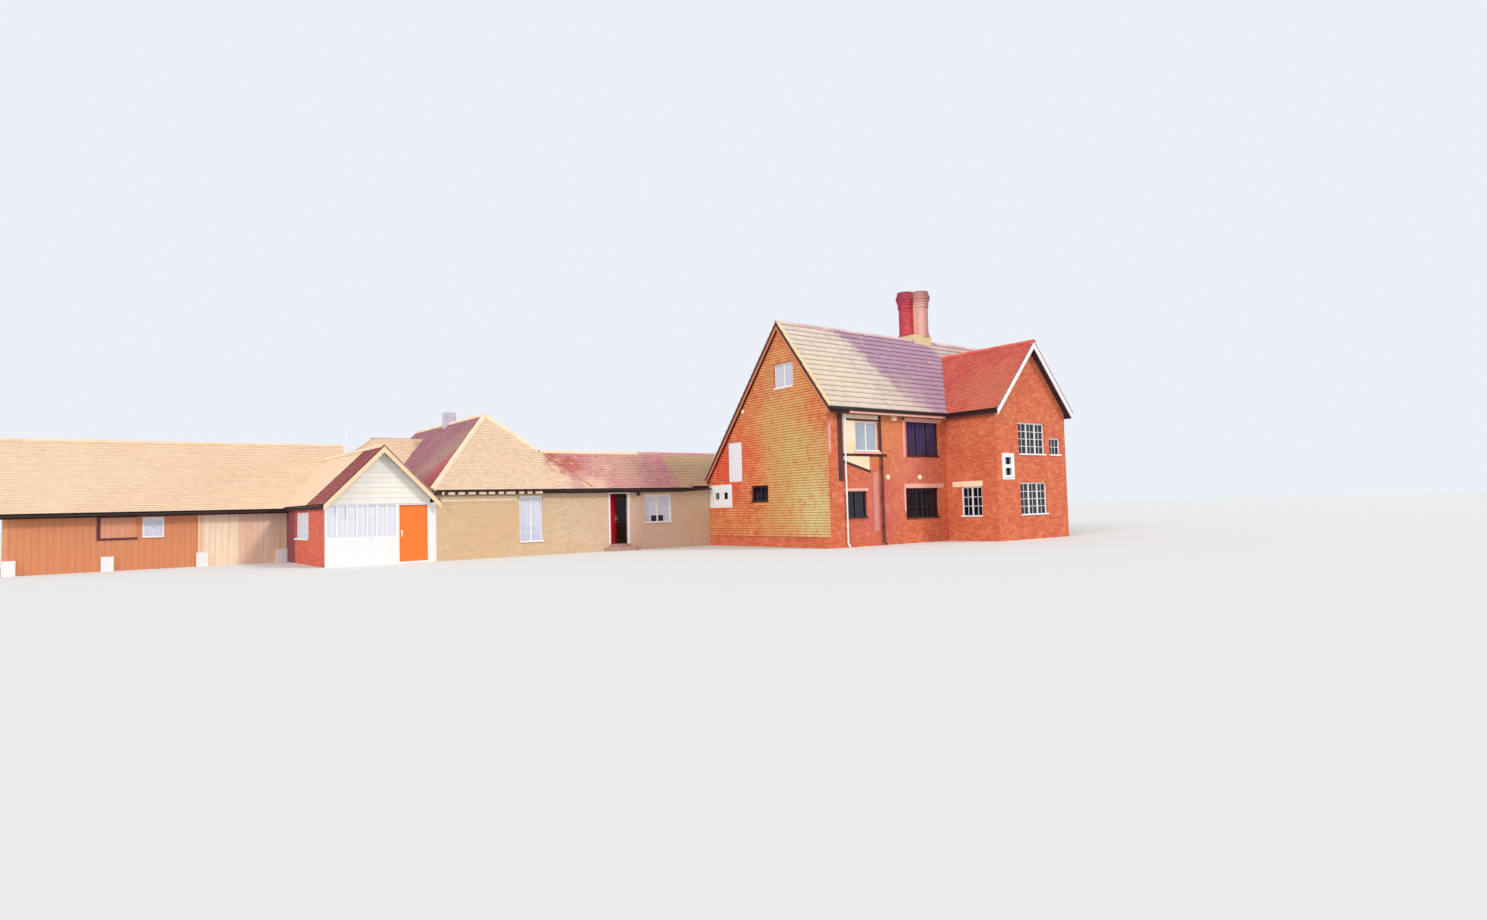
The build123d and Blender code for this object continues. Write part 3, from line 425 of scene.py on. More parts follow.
def stone_finish(name, pale, main, joint, size=0.6):
    """Worn paving in squared slabs with sandy joints."""
    finish = Finish(name, 0.9)
    tree = finish.tree
    slabs = add(tree, "ShaderNodeTexBrick", {"Vector": finish.place, "Scale": 1.0,
                                             "Mortar Size": 0.012, "Mortar Smooth": 0.4,
                                             "Brick Width": size, "Row Height": size * 0.7,
                                             "Color1": srgb(*pale), "Color2": srgb(*main),
                                             "Mortar": srgb(*joint)})
    worn = use(tree, weather, {"Place": finish.place, "Lichen": 0.2, "Patch Size": 0.8})
    body = mix(tree, calc(tree, "MULTIPLY", worn["Patch"], 0.3), slabs.outputs["Color"], srgb(*pale))
    finish.colour(body)
    grain = calc(tree, "MULTIPLY", noise(tree, finish.place, 30.0, 4.0), 0.4)
    finish.bump(calc(tree, "SUBTRACT", grain, slabs.outputs["Fac"]), 0.006)
    return finish.material


def plaster_finish(name, colour, shade, amount=0.5):
    """Limewashed plaster, trowelled by hand, with soft stains."""
    finish = Finish(name, 0.9)
    tree = finish.tree
    worn = use(tree, weather, {"Place": finish.place, "Lichen": 0.1, "Patch Size": 0.6})
    body = mix(tree, calc(tree, "MULTIPLY", worn["Patch"], amount), srgb(*colour), srgb(*shade))
    body = wash(tree, body, worn["Streak"], amount * 0.5, shade)
    finish.colour(body)
    finish.bump(noise(tree, finish.place, 7.0, 5.0, 0.6), 0.01)
    return finish.material


def metal_finish(name, colour, rust, rough=0.5, amount=0.3):
    """Painted iron with rust coming through in spots."""
    finish = Finish(name, rough)
    tree = finish.tree
    spots = remap(tree, noise(tree, finish.place, 18.0, 5.0, 0.7), 0.55, 0.7, 0.0, amount)
    finish.colour(mix(tree, spots, srgb(*colour), srgb(*rust)))
    finish.roughness(remap(tree, spots, 0.0, 1.0, rough, 0.9))
    finish.bump(noise(tree, finish.place, 40.0, 3.0), 0.001)
    return finish.material


def glass_finish(name, dark, pale, start, full, clear, panes=()):
    """Old crown glass with a painted reflection of the pale sky, growing from one level up to another, and
    part seen through.
    """
    finish = Finish(name, 0.06)
    tree = finish.tree
    place = axes(tree, finish.place)
    # Painted reflection of the sky, rising with height and broken up by noise
    lift = remap(tree, place[2], start, full)
    painted_sky_sheen = calc(tree, "ADD", lift, calc(tree, "MULTIPLY", noise(tree, finish.place, 1.6, 2.0), 0.4))
    body = mix(tree, remap(tree, painted_sky_sheen, 0.2, 1.2), srgb(*dark), srgb(*pale))
    for low, high, colour in panes:
        body = mix(tree, within(tree, finish.place, low, high), body, srgb(*colour))
    finish.colour(body)
    finish.shader.inputs["Transmission Weight"].default_value = clear
    finish.shader.inputs["IOR"].default_value = 1.45
    finish.bump(noise(tree, finish.place, 5.0, 2.0), 0.002, 0.6)
    return finish.material


# Boxes of the house's joinery that isn't painted white, and of panes with painted colour: the pale ones a
# painted sky reflection, the dark right window the painted shade of its room
# The first box also darkens the sill under window 2, a painted shadow
DARK_WINDOWS = [(site(4.0, -0.1, 3.0), site(6.25, 0.3, 4.7)), (site(0.7, -0.1, 0.7), site(2.1, 0.3, 2.1)),
                (site(3.9, -0.1, 0.6), site(6.2, 0.3, 2.2)), (site(-0.1, 3.3, 1.4), site(0.3, 4.6, 2.3))]
HOUSE_PAINTED_PANES = [(site(1.2, 0, 3.2), site(2.7, 0.3, 4.5), (206, 218, 232)),
               (site(-0.1, 1.7, 5.7), site(0.3, 3.0, 7.0), (238, 238, 250)),
               (site(4.0, 0, 3.0), site(6.3, 0.3, 4.7), (78, 78, 132))]

# The chimney's shafts stand on a plinth and end in corbelled caps
SHAFTS_AND_CAPS = 2.02
SHAFT_HEIGHT = 1.45
stack_low, stack_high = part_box("house_chimney")
stack_centre = stack_low / 2 + stack_high / 2
PLINTH_TOP = stack_high.z - SHAFTS_AND_CAPS
CAP_FOOT = PLINTH_TOP + SHAFT_HEIGHT

# Painted shade on the outer edges of the pair of shafts: where it starts and is full, its strength, its
# colour
SHAFT_SHADE_EDGES = ((-0.62, -0.86, 0.4, (110, 30, 110)), (0.5, 0.84, 0.6, (150, 62, 96)))

# Where the painted shade of the porch's left slope ends at its valley
VALLEY_FOOT = site(-15.25, 9.35, 0)
VALLEY_SLANT = -0.1

PALE_RANGE = (232, 200, 168)

house_brick = brick_finish("house_brick", (240, 156, 104), (216, 104, 66), (168, 62, 48), (224, 156, 122),
                           mottle=0.85,
                           stains=[(site(3.4, 0, 3.9), 1.5, 0.6, (232, 146, 84)),
                                   (site(4.6, 0, 2.7), 1.3, 0.5, (218, 118, 110)),
                                   (site(2.4, 0, 1.2), 1.2, 0.6, (208, 104, 100))],
                           boxes=[(site(0.03, -0.1, 3.2), site(0.15, 0.1, 4.3), 0.6, (240, 196, 196)),
                                  (site(2.28, -0.1, 0.3), site(2.52, 0.1, 2.5), 0.35,
                                   (232, 190, 192))]).material
# The first stain, a pink wash near the house, is a painted shadow of the house on the link's wall
yard_brick = brick_finish("yard_brick", (236, 214, 184), (220, 190, 156), (190, 152, 118), (226, 206, 178),
                          0.1, contrast=0.25, mottle=0.5,
                          stains=[(site(-3.2, YARD_FRONT, 0.6), 1.8, 0.6, (224, 182, 168)),
                                  (site(-10.0, YARD_FRONT, 1.0), 2.0, 0.5, (222, 180, 128))]).material
# The box is a dark maroon band of painted shade over the far end of the porch's side wall
porch_brick = brick_finish("porch_brick", (232, 140, 112), (216, 96, 70), (170, 66, 56), (214, 150, 126),
                           boxes=[(site(-15.6, 12.0, -1), site(-14.8, 13.6, 4), 0.9, (112, 50, 66))]).material
smoke_brick = brick_finish("yard_stack_brick", (226, 226, 236), (206, 202, 216), (150, 140, 160),
                           (200, 196, 206), 0.1).material


def stack_finish():
    """Red moulded brick over a pale mortared plinth, one shaft paler than the other as painted light, and
    painted shade on the outer edges.
    """
    finish = brick_finish("stack_brick", (226, 120, 120), (206, 62, 78), (150, 36, 66), (206, 126, 120),
                          0.1, (214, 176, 150), mottle=0.5)
    tree = finish.tree
    red = finish.painted()
    place = axes(tree, finish.place)
    side = calc(tree, "SUBTRACT", place[0], place[1])
    middle = stack_centre.x - stack_centre.y
    # Painted highlight: the right shaft's pale pink stands for its lit faces, while the left shaft stays red
    worn = mottled(tree, finish.place, srgb(232, 182, 164), srgb(248, 214, 190), srgb(206, 134, 134),
                   0.8, 4.0)
    red = mix(tree, remap(tree, side, middle - 0.03, middle + 0.03), red, worn)
    for start, full, share, colour in SHAFT_SHADE_EDGES:
        red = mix(tree, remap(tree, side, middle + start, middle + full, 0.0, share), red, srgb(*colour))
    mortar = mix(tree, noise(tree, finish.place, 6.0, 4.0), srgb(240, 222, 168), srgb(222, 190, 150))
    cap = remap(tree, place[2], CAP_FOOT, CAP_FOOT + 0.3, 0.0, 0.5)
    red = mix(tree, cap, red, srgb(128, 60, 84))
    finish.colour(mix(tree, remap(tree, place[2], PLINTH_TOP + 0.02, PLINTH_TOP - 0.02), red, mortar))
    return finish.material


stack_brick = stack_finish()
house_tile = tile_finish("house_roof_tile", (226, 214, 198), (210, 194, 182), (182, 150, 154), 0.3,
                         (220, 210, 166), 1.8, 0.24, 0.25, 0.45,
                         [(site(0.9, 0.8, 6.0), 1.5, 0.4, (228, 210, 172)),
                          (site(4.6, 0.2, 5.4), 1.0, 0.5, (204, 176, 162))],
                         # The first side is a painted shadow of the wing and chimney: a mauve tint past a
                         # ragged diagonal on the front slope. The second gives the tiles' own colour back at
                         # the right
                         [(site(3.7, 1.6, 7.1), (0.79, 0, 0.5), 0.8, (160, 112, 154)),
                          (site(8.6, 1.6, 7.1), (1, 0, 0), 0.7, (212, 192, 178))]).material
wing_tile = tile_finish("wing_roof_tile", (236, 136, 104), (222, 92, 86), (180, 56, 70), 0.06,
                        (200, 160, 90), 1.4, 0.45, 0.3, 0.6,
                        [(site(7.2, -1.6, 5.6), 1.5, 0.4, (216, 140, 92))]).material
gable_tile = tile_finish("hung_gable_tile", (238, 176, 108), (226, 114, 70), (200, 66, 46), 0.1,
                         (214, 196, 116), 1.6, 0.8, 0.25, 0.95,
                         [(site(0, 1.5, 2.8), 1.6, 0.75, (212, 190, 118)),
                          (site(0, 2.8, 4.4), 1.3, 0.55, (212, 182, 110)),
                          (site(0, 2.3, 6.3), 1.2, 0.45, (216, 172, 112)),
                          (site(0, 0.7, 0.9), 1.3, 0.9, (222, 204, 140)),
                          (site(0, 2.9, 1.0), 1.2, 0.4, (216, 180, 110)),
                          (site(0, 6.3, 3.0), 1.3, 0.85, (236, 76, 54)),
                          (site(0, 4.6, 3.6), 0.9, 0.5, (234, 92, 60))]).material
range_tile = tile_finish("range_roof_tile", (244, 222, 192), PALE_RANGE, (212, 172, 140), 0.14,
                         (232, 214, 166), 2.6, 0.2, 0.15, 0.4).material
link_tile = tile_finish("link_roof_tile", (226, 170, 160), (206, 142, 144), (170, 98, 110), 0.1,
                        (204, 176, 140), 2.0, 0.3, 0.3, 0.22,
                        [(site(-6.25, 8.2, 2.85), 0.65, 0.9, (188, 92, 74)),
                         (site(-5.7, 7.4, 2.2), 0.7, 0.9, (238, 200, 174)),
                         (site(-5.0, 8.2, 2.9), 0.4, 0.7, (226, 186, 156)),
                         (site(-3.6, 8.3, 3.2), 0.9, 0.6, (214, 184, 152))],
                        [(site(-6.7, 8.3, 2.9), (-1, 0, -0.15), 1.0, (242, 212, 182))]).material
# The left slope faces away from the sun: its dark maroon body is painted shade
block_left_shaded_tile = tile_finish("block_left_shaded_tile", (196, 150, 150), (166, 104, 122), (126, 56, 92), 0.15,
                         (190, 166, 136), 2.0, 0.25, 0.2, 0.6,
                         [(site(-10.4, YARD_FRONT + 2.6, 3.6), 1.5, 0.75, (190, 158, 138)),
                          (site(-10.7, YARD_FRONT + 0.8, 3.0), 1.1, 0.85, (206, 84, 98))]).material
# The porch's left slope faces away from the sun: its maroon tiles are painted shade
shaded_porch_tile = tile_finish("porch_left_shaded_tile", (190, 112, 96), (156, 68, 76), (110, 40, 60), 0.12,
                             (170, 120, 90), 2.0, 0.35, 0.25, 0.6)
porch_tile = beyond_valley(shaded_porch_tile, (246, 216, 186), (90, 44, 60)).material
end_tile = tile_finish("link_end_tile", (212, 184, 144), (200, 164, 130), (168, 128, 106), 0.3,
                       (204, 186, 120), 1.4, 0.3, 0.25, 0.5).material
cap_tile = tile_finish("ridge_tile", (246, 228, 200), (240, 214, 182), (222, 188, 160), 0.1,
                       (236, 220, 176), 1.0, 0.3, 0.15).material
slab_cap_tile = tile_finish("house_ridge_tile", (226, 196, 190), (204, 166, 170), (172, 130, 142), 0.2,
                            (218, 200, 164), 1.0, 0.4).material
verge_mortar = plaster_finish("verge_mortar", (238, 216, 168), (222, 184, 136), 0.5)
white_paint = paint_finish("white_paint", (242, 242, 242), (190, 182, 168), 0.18)
house_joinery = paint_finish("house_joinery", (242, 242, 242), (190, 182, 168), 0.18, stained=DARK_WINDOWS)
cream_paint = paint_finish("cream_paint", (246, 214, 176), (214, 166, 124), 0.3)
pink_paint = paint_finish("pink_paint", (240, 180, 166), (214, 140, 124), 0.35)
orange_paint = paint_finish("porch_door_paint", (250, 126, 34), (236, 84, 22), 0.3, 0.35)
black_paint = paint_finish("black_paint", (38, 26, 30), (70, 50, 48), 0.3, 0.4)
maroon_paint = paint_finish("maroon_paint", (96, 34, 44), (58, 22, 30), 0.4, 0.5)
red_paint = board_finish("red_door_boards", (214, 26, 46), (196, 14, 36), (130, 6, 26), 0.16, 0,
                         (1.0, 1.0, 0.08), 0.4, 0.008)
dark_oak = board_finish("dark_oak", (96, 54, 52), (66, 34, 36), (36, 18, 22), 0.3, 0, (1.0, 1.0, 0.1))
HATCH_LOW, HATCH_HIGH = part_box("cart_hatch")
CART_LOW, CART_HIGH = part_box("cart_front_wall")
barn_boards = board_finish("barn_boards", (255, 238, 214), (252, 220, 190), (232, 184, 150), 0.19, 0,
                           (1.0, 1.0, 0.08), joint=0.007, gap_share=0.25,
                           stains=[(CART_LOW - Vector((1, 1, 1)),
                                    Vector((HATCH_HIGH.x + 1.9, CART_HIGH.y + 1, CART_HIGH.z)), 0.85,
                                    (208, 116, 60)),
                                   (HATCH_LOW - Vector((0.1, 0.03, 0.1)), HATCH_HIGH, 0.9, (230, 166, 138)),
                                   # The last wash darkens the right end of the boards by the porch, painted
                                   # shade of the porch
                                   (Vector((CART_HIGH.x - 1.6, CART_LOW.y - 1, -1)), CART_HIGH, 0.3,
                                    (206, 140, 120))])
barn_end_boards = board_finish("barn_end_boards", (230, 176, 132), (214, 148, 102), (180, 112, 78), 0.19, 1,
                               (1.0, 1.0, 0.08), joint=0.007, gap_share=0.35)
white_boards = board_finish("white_boards", (246, 242, 232), (242, 238, 228), (228, 222, 206), 0.17, 2,
                            (0.1, 1.0, 1.0), 0.55, 0.006, 0.03)
loft_boards = board_finish("loft_door_boards", (246, 244, 250), (242, 240, 248), (216, 212, 222), 0.15, 1,
                           (1.0, 1.0, 0.08), 0.5, 0.007, 0.25)
roof_wood = board_finish("roof_wood", (72, 40, 42), (52, 28, 32), (34, 18, 22), 0.2, 0, (0.1, 1.0, 1.0),
                         above=(196, 150, 124))
floor_boards = board_finish("floor_boards", (170, 128, 90), (144, 102, 70), (96, 64, 44), 0.18, 1,
                            (0.1, 1.0, 1.0), 0.6)
stone_floor = stone_finish("stone_floor", (206, 196, 178), (180, 168, 150), (140, 130, 112))
step_stone = stone_finish("step_stone", (196, 160, 146), (176, 130, 118), (140, 110, 100), 0.225)
plaster = plaster_finish("cream_plaster", (252, 232, 202), (244, 206, 160), 0.6)
iron = metal_finish("black_iron", (28, 26, 28), (96, 52, 34))
clear_glass = glass_finish("house_glass", (26, 24, 44), (150, 160, 186), 5.6, 9.4, 0.4, HOUSE_PAINTED_PANES)

# Two lower panes of the link's window painted dark, the painted shade of the room behind
LINK_PAINTED_DARK_PANES = [(Vector((low, -0.6, 1.0)), Vector((high, -0.4, 1.357)), (40, 36, 66))
              for low, high in ((2.38, 2.66), (2.7, 2.99))]
yard_glass = glass_finish("yard_glass", (194, 200, 232), (226, 230, 246), 0.0, 1.9, 0.08, LINK_PAINTED_DARK_PANES)
porch_glass = glass_finish("porch_glass", (226, 228, 240), (236, 238, 246), 0.6, 2.4, 0.04)


def verge_finish():
    """Dark edge boards, the foot of each limed over like the wall below."""
    finish = Finish("verge_boards", 0.8)
    tree = finish.tree
    place = axes(tree, finish.place)
    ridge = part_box("house_front_roof")[1]
    front = calc(tree, "MULTIPLY", calc(tree, "SUBTRACT", ridge.y, place[1]), math.tan(FRONT_PITCH))
    back_low, back_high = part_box("house_back_roof")
    fall = (ridge.z - back_low.z - HOUSE_ROOF_EDGE) / (back_high.y - ridge.y)
    back = calc(tree, "MULTIPLY", calc(tree, "SUBTRACT", place[1], ridge.y), fall)
    under_ridge = calc(tree, "SUBTRACT", ridge.z, place[2])
    depth = calc(tree, "SUBTRACT", under_ridge, calc(tree, "MAXIMUM", front, back))
    grain = use(tree, wood_grain, {"Place": finish.place, "Along": (1.0, 0.2, 0.2)})
    wood = mix(tree, grain["Figure"], srgb(86, 44, 46), srgb(40, 20, 26))
    limed = mottled(tree, finish.place, srgb(206, 118, 78), srgb(232, 170, 120), srgb(160, 74, 58), 0.6)
    finish.colour(mix(tree, remap(tree, depth, VERGE_DARK - 0.01, VERGE_DARK + 0.01), wood, limed))
    finish.bump(grain["Fibre"], 0.002)
    return finish.material


# The house's roof: pitch of its front, its tiled edge over its underside, and the dark part of its verge
FRONT_PITCH = math.radians(51.7)
HOUSE_ROOF_EDGE = 0.24
VERGE_DARK = 0.17
verge_boards = verge_finish()

FINISHES = {
    house_brick: ["front_wall", "back_wall", "left_gable_wall", "right_gable_wall", "wing_front_wall",
                  "wing_side_walls"],
    stack_brick: ["house_chimney"],
    loft_boards: ["loft_door"],
    house_joinery: ["house_window_frames"],
    porch_glass: ["porch_glass"],
    yard_brick: ["link_wall_left_of_door", "link_wall_over_door", "link_wall_right_of_door",
                 "link_back_wall", "block_front_wall", "block_left_wall", "block_right_wall",
                 "block_back_wall"],
    smoke_brick: ["block_chimney"],
    porch_brick: ["porch_left_wall"],
    barn_boards: ["cart_front_wall", "cart_back_wall", "cart_hatch"],
    barn_end_boards: ["cart_left_gable"],
    verge_boards: ["house_bargeboards"],
    cream_paint: ["porch_bargeboards"],
    roof_wood: ["house_front_roof", "house_back_roof", "wing_left_roof", "wing_right_roof",
                "link_front_roof", "link_front_end_roof", "link_back_roof", "block_front_hip_roof",
                "block_left_roof", "block_right_roof", "cart_front_roof", "cart_back_roof",
                "tall_bay_front_roof", "tall_bay_hip_roof", "porch_left_roof", "porch_right_roof"],
    white_boards: ["porch_gable_boards"],
    white_paint: ["yard_window_frames", "link_door_frame", "porch_door_frame", "porch_glazed_front",
                  "wing_bargeboards", "cart_post_blocks"],
    red_paint: ["link_door"],
    orange_paint: ["porch_door"],
    clear_glass: ["house_window_glass"],
    yard_glass: ["yard_window_glass"],
    iron: ["door_pins"],
    stone_floor: ["ground_floor", "yard_floor", "porch_and_cart_floor"],
    floor_boards: ["first_floor", "attic_floor"],
    step_stone: ["link_door_step"],
}


def coat(piece, material):
    piece.data.materials.clear()
    piece.data.materials.append(material)


for material, names in FINISHES.items():
    for name in names:
        coat(nodes[name], material)


# Modelling kit
def deselect():
    if bpy.context.object and bpy.context.object.mode != "OBJECT":
        bpy.ops.object.mode_set(mode="OBJECT")
    bpy.ops.object.select_all(action="DESELECT")


def pick(piece):
    deselect()
    piece.select_set(True)
    bpy.context.view_layer.objects.active = piece


def edit(piece):
    pick(piece)
    bpy.ops.object.mode_set(mode="EDIT")


def select_where(piece, test):
    """Selects the vertices that pass a test on their place, and goes back to editing."""
    bpy.ops.mesh.select_all(action="DESELECT")
    bpy.ops.mesh.select_mode(type="VERT")
    bpy.ops.object.mode_set(mode="OBJECT")
    for vertex in piece.data.vertices:
        vertex.select = test(vertex.co)
    bpy.ops.object.mode_set(mode="EDIT")


def reshape(piece, test, operator, **values):
    """Runs a transform operator on the vertices that pass a test on their place."""
    edit(piece)
    select_where(piece, test)
    operator(**values)
    bpy.ops.object.mode_set(mode="OBJECT")


def thicken(piece, thickness):
    """Gives a sheet its thickness."""
    thick = piece.modifiers.new("thick", "SOLIDIFY")
    thick.thickness = thickness
    bpy.ops.object.modifier_apply(modifier=thick.name)


def block(name, low, high, ease=0.004):
    """A squared piece between two corners, with its edges eased."""
    deselect()
    low = Vector(low)
    high = Vector(high)
    bpy.ops.mesh.primitive_cube_add(size=1, location=(low + high) / 2)
    piece = bpy.context.object
    piece.name = name
    piece.scale = high - low
    bpy.ops.object.transform_apply(location=True, rotation=True, scale=True)
    if ease:
        bpy.ops.object.mode_set(mode="EDIT")
        bpy.ops.mesh.select_all(action="SELECT")
        bpy.ops.mesh.bevel(offset=ease, segments=1)
        bpy.ops.object.mode_set(mode="OBJECT")
    return piece


def copy_of(piece, name):
    made = piece.copy()
    made.data = piece.data.copy()
    made.name = name
    bpy.context.scene.collection.objects.link(made)
    return made


def joined(name, pieces):
    """Many small pieces as one."""
    deselect()
    for piece in pieces:
        piece.select_set(True)
    bpy.context.view_layer.objects.active = pieces[0]
    if len(pieces) > 1:
        bpy.ops.object.join()
    made = bpy.context.object
    made.name = name
    deselect()
    return made


def finished(piece, material, body="farmhouse"):
    coat(piece, material)
    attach(piece, body)
    return piece


def array(piece, count, offset):
    """Copies in a row, applied."""
    if count < 2:
        return
    pick(piece)
    row = piece.modifiers.new("row", "ARRAY")
    row.use_relative_offset = False
    row.use_constant_offset = True
    row.constant_offset_displace = offset
    row.count = count
    bpy.ops.object.modifier_apply(modifier=row.name)


def rod(start, end, radius, sides=10):
    """A round bar between two places."""
    deselect()
    bpy.ops.mesh.primitive_cylinder_add(vertices=sides, radius=radius, depth=1)
    piece = bpy.context.object
    piece.name = "rod"
    start = Vector(start)
    run = Vector(end) - start
    turn = run.to_track_quat("Z", "Y").to_matrix().to_4x4()
    piece.data.transform(Matrix.Translation(start + run / 2) @ turn @ Matrix.Scale(run.length, 4, (0, 0, 1)))
    return piece


def open_tube(radius, length, sides, turn=0.0):
    """A tube with open ends along +X, starting at the origin."""
    deselect()
    bpy.ops.mesh.primitive_cylinder_add(vertices=sides, radius=radius, depth=length, end_fill_type="NOTHING")
    tube = bpy.context.object
    tube.data.transform(Matrix.Rotation(math.pi / 2, 4, "Y") @ Matrix.Rotation(turn, 4, "Z"))
    tube.data.transform(Matrix.Translation((length / 2, 0, 0)))
    return tube


def basis(origin, across, up, out):
    """The matrix that lays a pattern drawn in x, y, z along three directions."""
    return Matrix(((across.x, up.x, out.x, origin.x), (across.y, up.y, out.y, origin.y),
                   (across.z, up.z, out.z, origin.z), (0, 0, 0, 1)))


# Clay tiles
class TileKind:
    """One sort of tile: its width, how much of each course shows, its thickness and one model of it."""

    def __init__(self, width, gauge, thick, tilt=0.02):
        self.width = width
        self.gauge = gauge
        self.tilt = tilt
        length = gauge * TILE_COVER
        self.model = block("tile", (0.001, 0, 0), (width - 0.001, length, thick), 0)
        reshape(self.model, lambda co: co.y > length / 2 and co.z > thick / 2,
                bpy.ops.transform.translate, value=(0, 0, -thick * 0.75))
        reshape(self.model, lambda co: co.y < length / 2, bpy.ops.transform.translate, value=(0, 0, 0.004))


def triangles_of(node):
    mesh = nodes[node].data
    co = np.zeros(len(mesh.vertices) * 3)
    mesh.vertices.foreach_get("co", co)
    mesh.calc_loop_triangles()
    index = np.zeros(len(mesh.loop_triangles) * 3, dtype=int)
    mesh.loop_triangles.foreach_get("vertices", index)
    return co.reshape(-1, 3)[index].reshape(-1, 3, 3)


def faces_towards(node, test):
    """The node's flat faces that pass a test on their normal, grouped by plane."""
    groups = []
    corners = triangles_of(node)
    normals = np.cross(corners[:, 1] - corners[:, 0], corners[:, 2] - corners[:, 0])
    areas = np.linalg.norm(normals, axis=1)
    for triangle, normal, area in zip(corners, normals, areas):
        if area < 1e-6:
            continue
        unit = normal / area
        if not test(unit):
            continue
        reach = unit @ triangle[0]
        for known in groups:
            if known[0] @ unit > 0.9999 and abs(known[1] - reach) < 0.005:
                known[2].append(triangle)
                break
        else:
            groups.append([unit, reach, [triangle]])
    return [(unit, np.array(found)) for unit, reach, found in groups]


def covered(points, triangles, slack):
    """Which 2-D points lie in any of the triangles, within a little slack."""
    inside = np.zeros(len(points), dtype=bool)
    for a, b, c in triangles:
        area = (b[0] - a[0]) * (c[1] - a[1]) - (b[1] - a[1]) * (c[0] - a[0])
        if abs(area) < 1e-9:
            continue
        if area < 0:
            b, c = c, b
        hit = np.ones(len(points), dtype=bool)
        for p, q in ((a, b), (b, c), (c, a)):
            edge = q - p
            side = edge[0] * (points[:, 1] - p[1]) - edge[1] * (points[:, 0] - p[0])
            hit &= side > -slack * np.linalg.norm(edge)
        inside |= hit
    return inside


def tiles_of(field):
    """The corners of each tile in a field, as an array."""
    co = np.zeros(len(field.data.vertices) * 3)
    field.data.vertices.foreach_get("co", co)
    return co.reshape(-1, TILE_CORNERS, 3)


def give(piece, name, values):
    """A number on every vertex, for the finish to read."""
    piece.data.attributes.new(name, "FLOAT", "POINT").data.foreach_set("value", values)


def take_away(field, gone):
    """Deletes the tiles that are marked as gone."""
    edit(field)
    bpy.ops.mesh.select_all(action="DESELECT")
    bpy.ops.mesh.select_mode(type="VERT")
    bpy.ops.object.mode_set(mode="OBJECT")
    field.data.vertices.foreach_set("select", np.repeat(gone, TILE_CORNERS))
    bpy.ops.object.mode_set(mode="EDIT")
    bpy.ops.mesh.delete(type="VERT")
    bpy.ops.object.mode_set(mode="OBJECT")


plain_tile = TileKind(0.165, 0.100, 0.022)
flat_tile = TileKind(0.165, 0.100, 0.016, 0.01)
slab_tile = TileKind(0.30, 0.275, 0.045, 0.006)


def trimmed(co, middle, across, up, hole):
    """Cuts the tiles round an opening back to its edges."""
    a0, a1 = sorted(corner.dot(across) for corner in hole)
    b0, b1 = sorted(corner.dot(up) for corner in hole)
    meets = (co[:, :, 0].min(axis=1) < a1) & (co[:, :, 0].max(axis=1) > a0)
    meets &= (co[:, :, 1].min(axis=1) < b1) & (co[:, :, 1].max(axis=1) > b0)
    above = meets & (middle[:, 1] >= b1)
    below = meets & (middle[:, 1] <= b0)
    co[above, :, 1] = np.maximum(co[above, :, 1], b1)
    co[below, :, 1] = np.minimum(co[below, :, 1], b0)
    beside = meets & ~above & ~below
    before = beside & (middle[:, 0] < a0)
    after = beside & (middle[:, 0] > a1)
    co[before, :, 0] = np.minimum(co[before, :, 0], a0)
    co[after, :, 0] = np.maximum(co[after, :, 0], a1)


def looks_up(normal):
    return normal[2] > 0.3


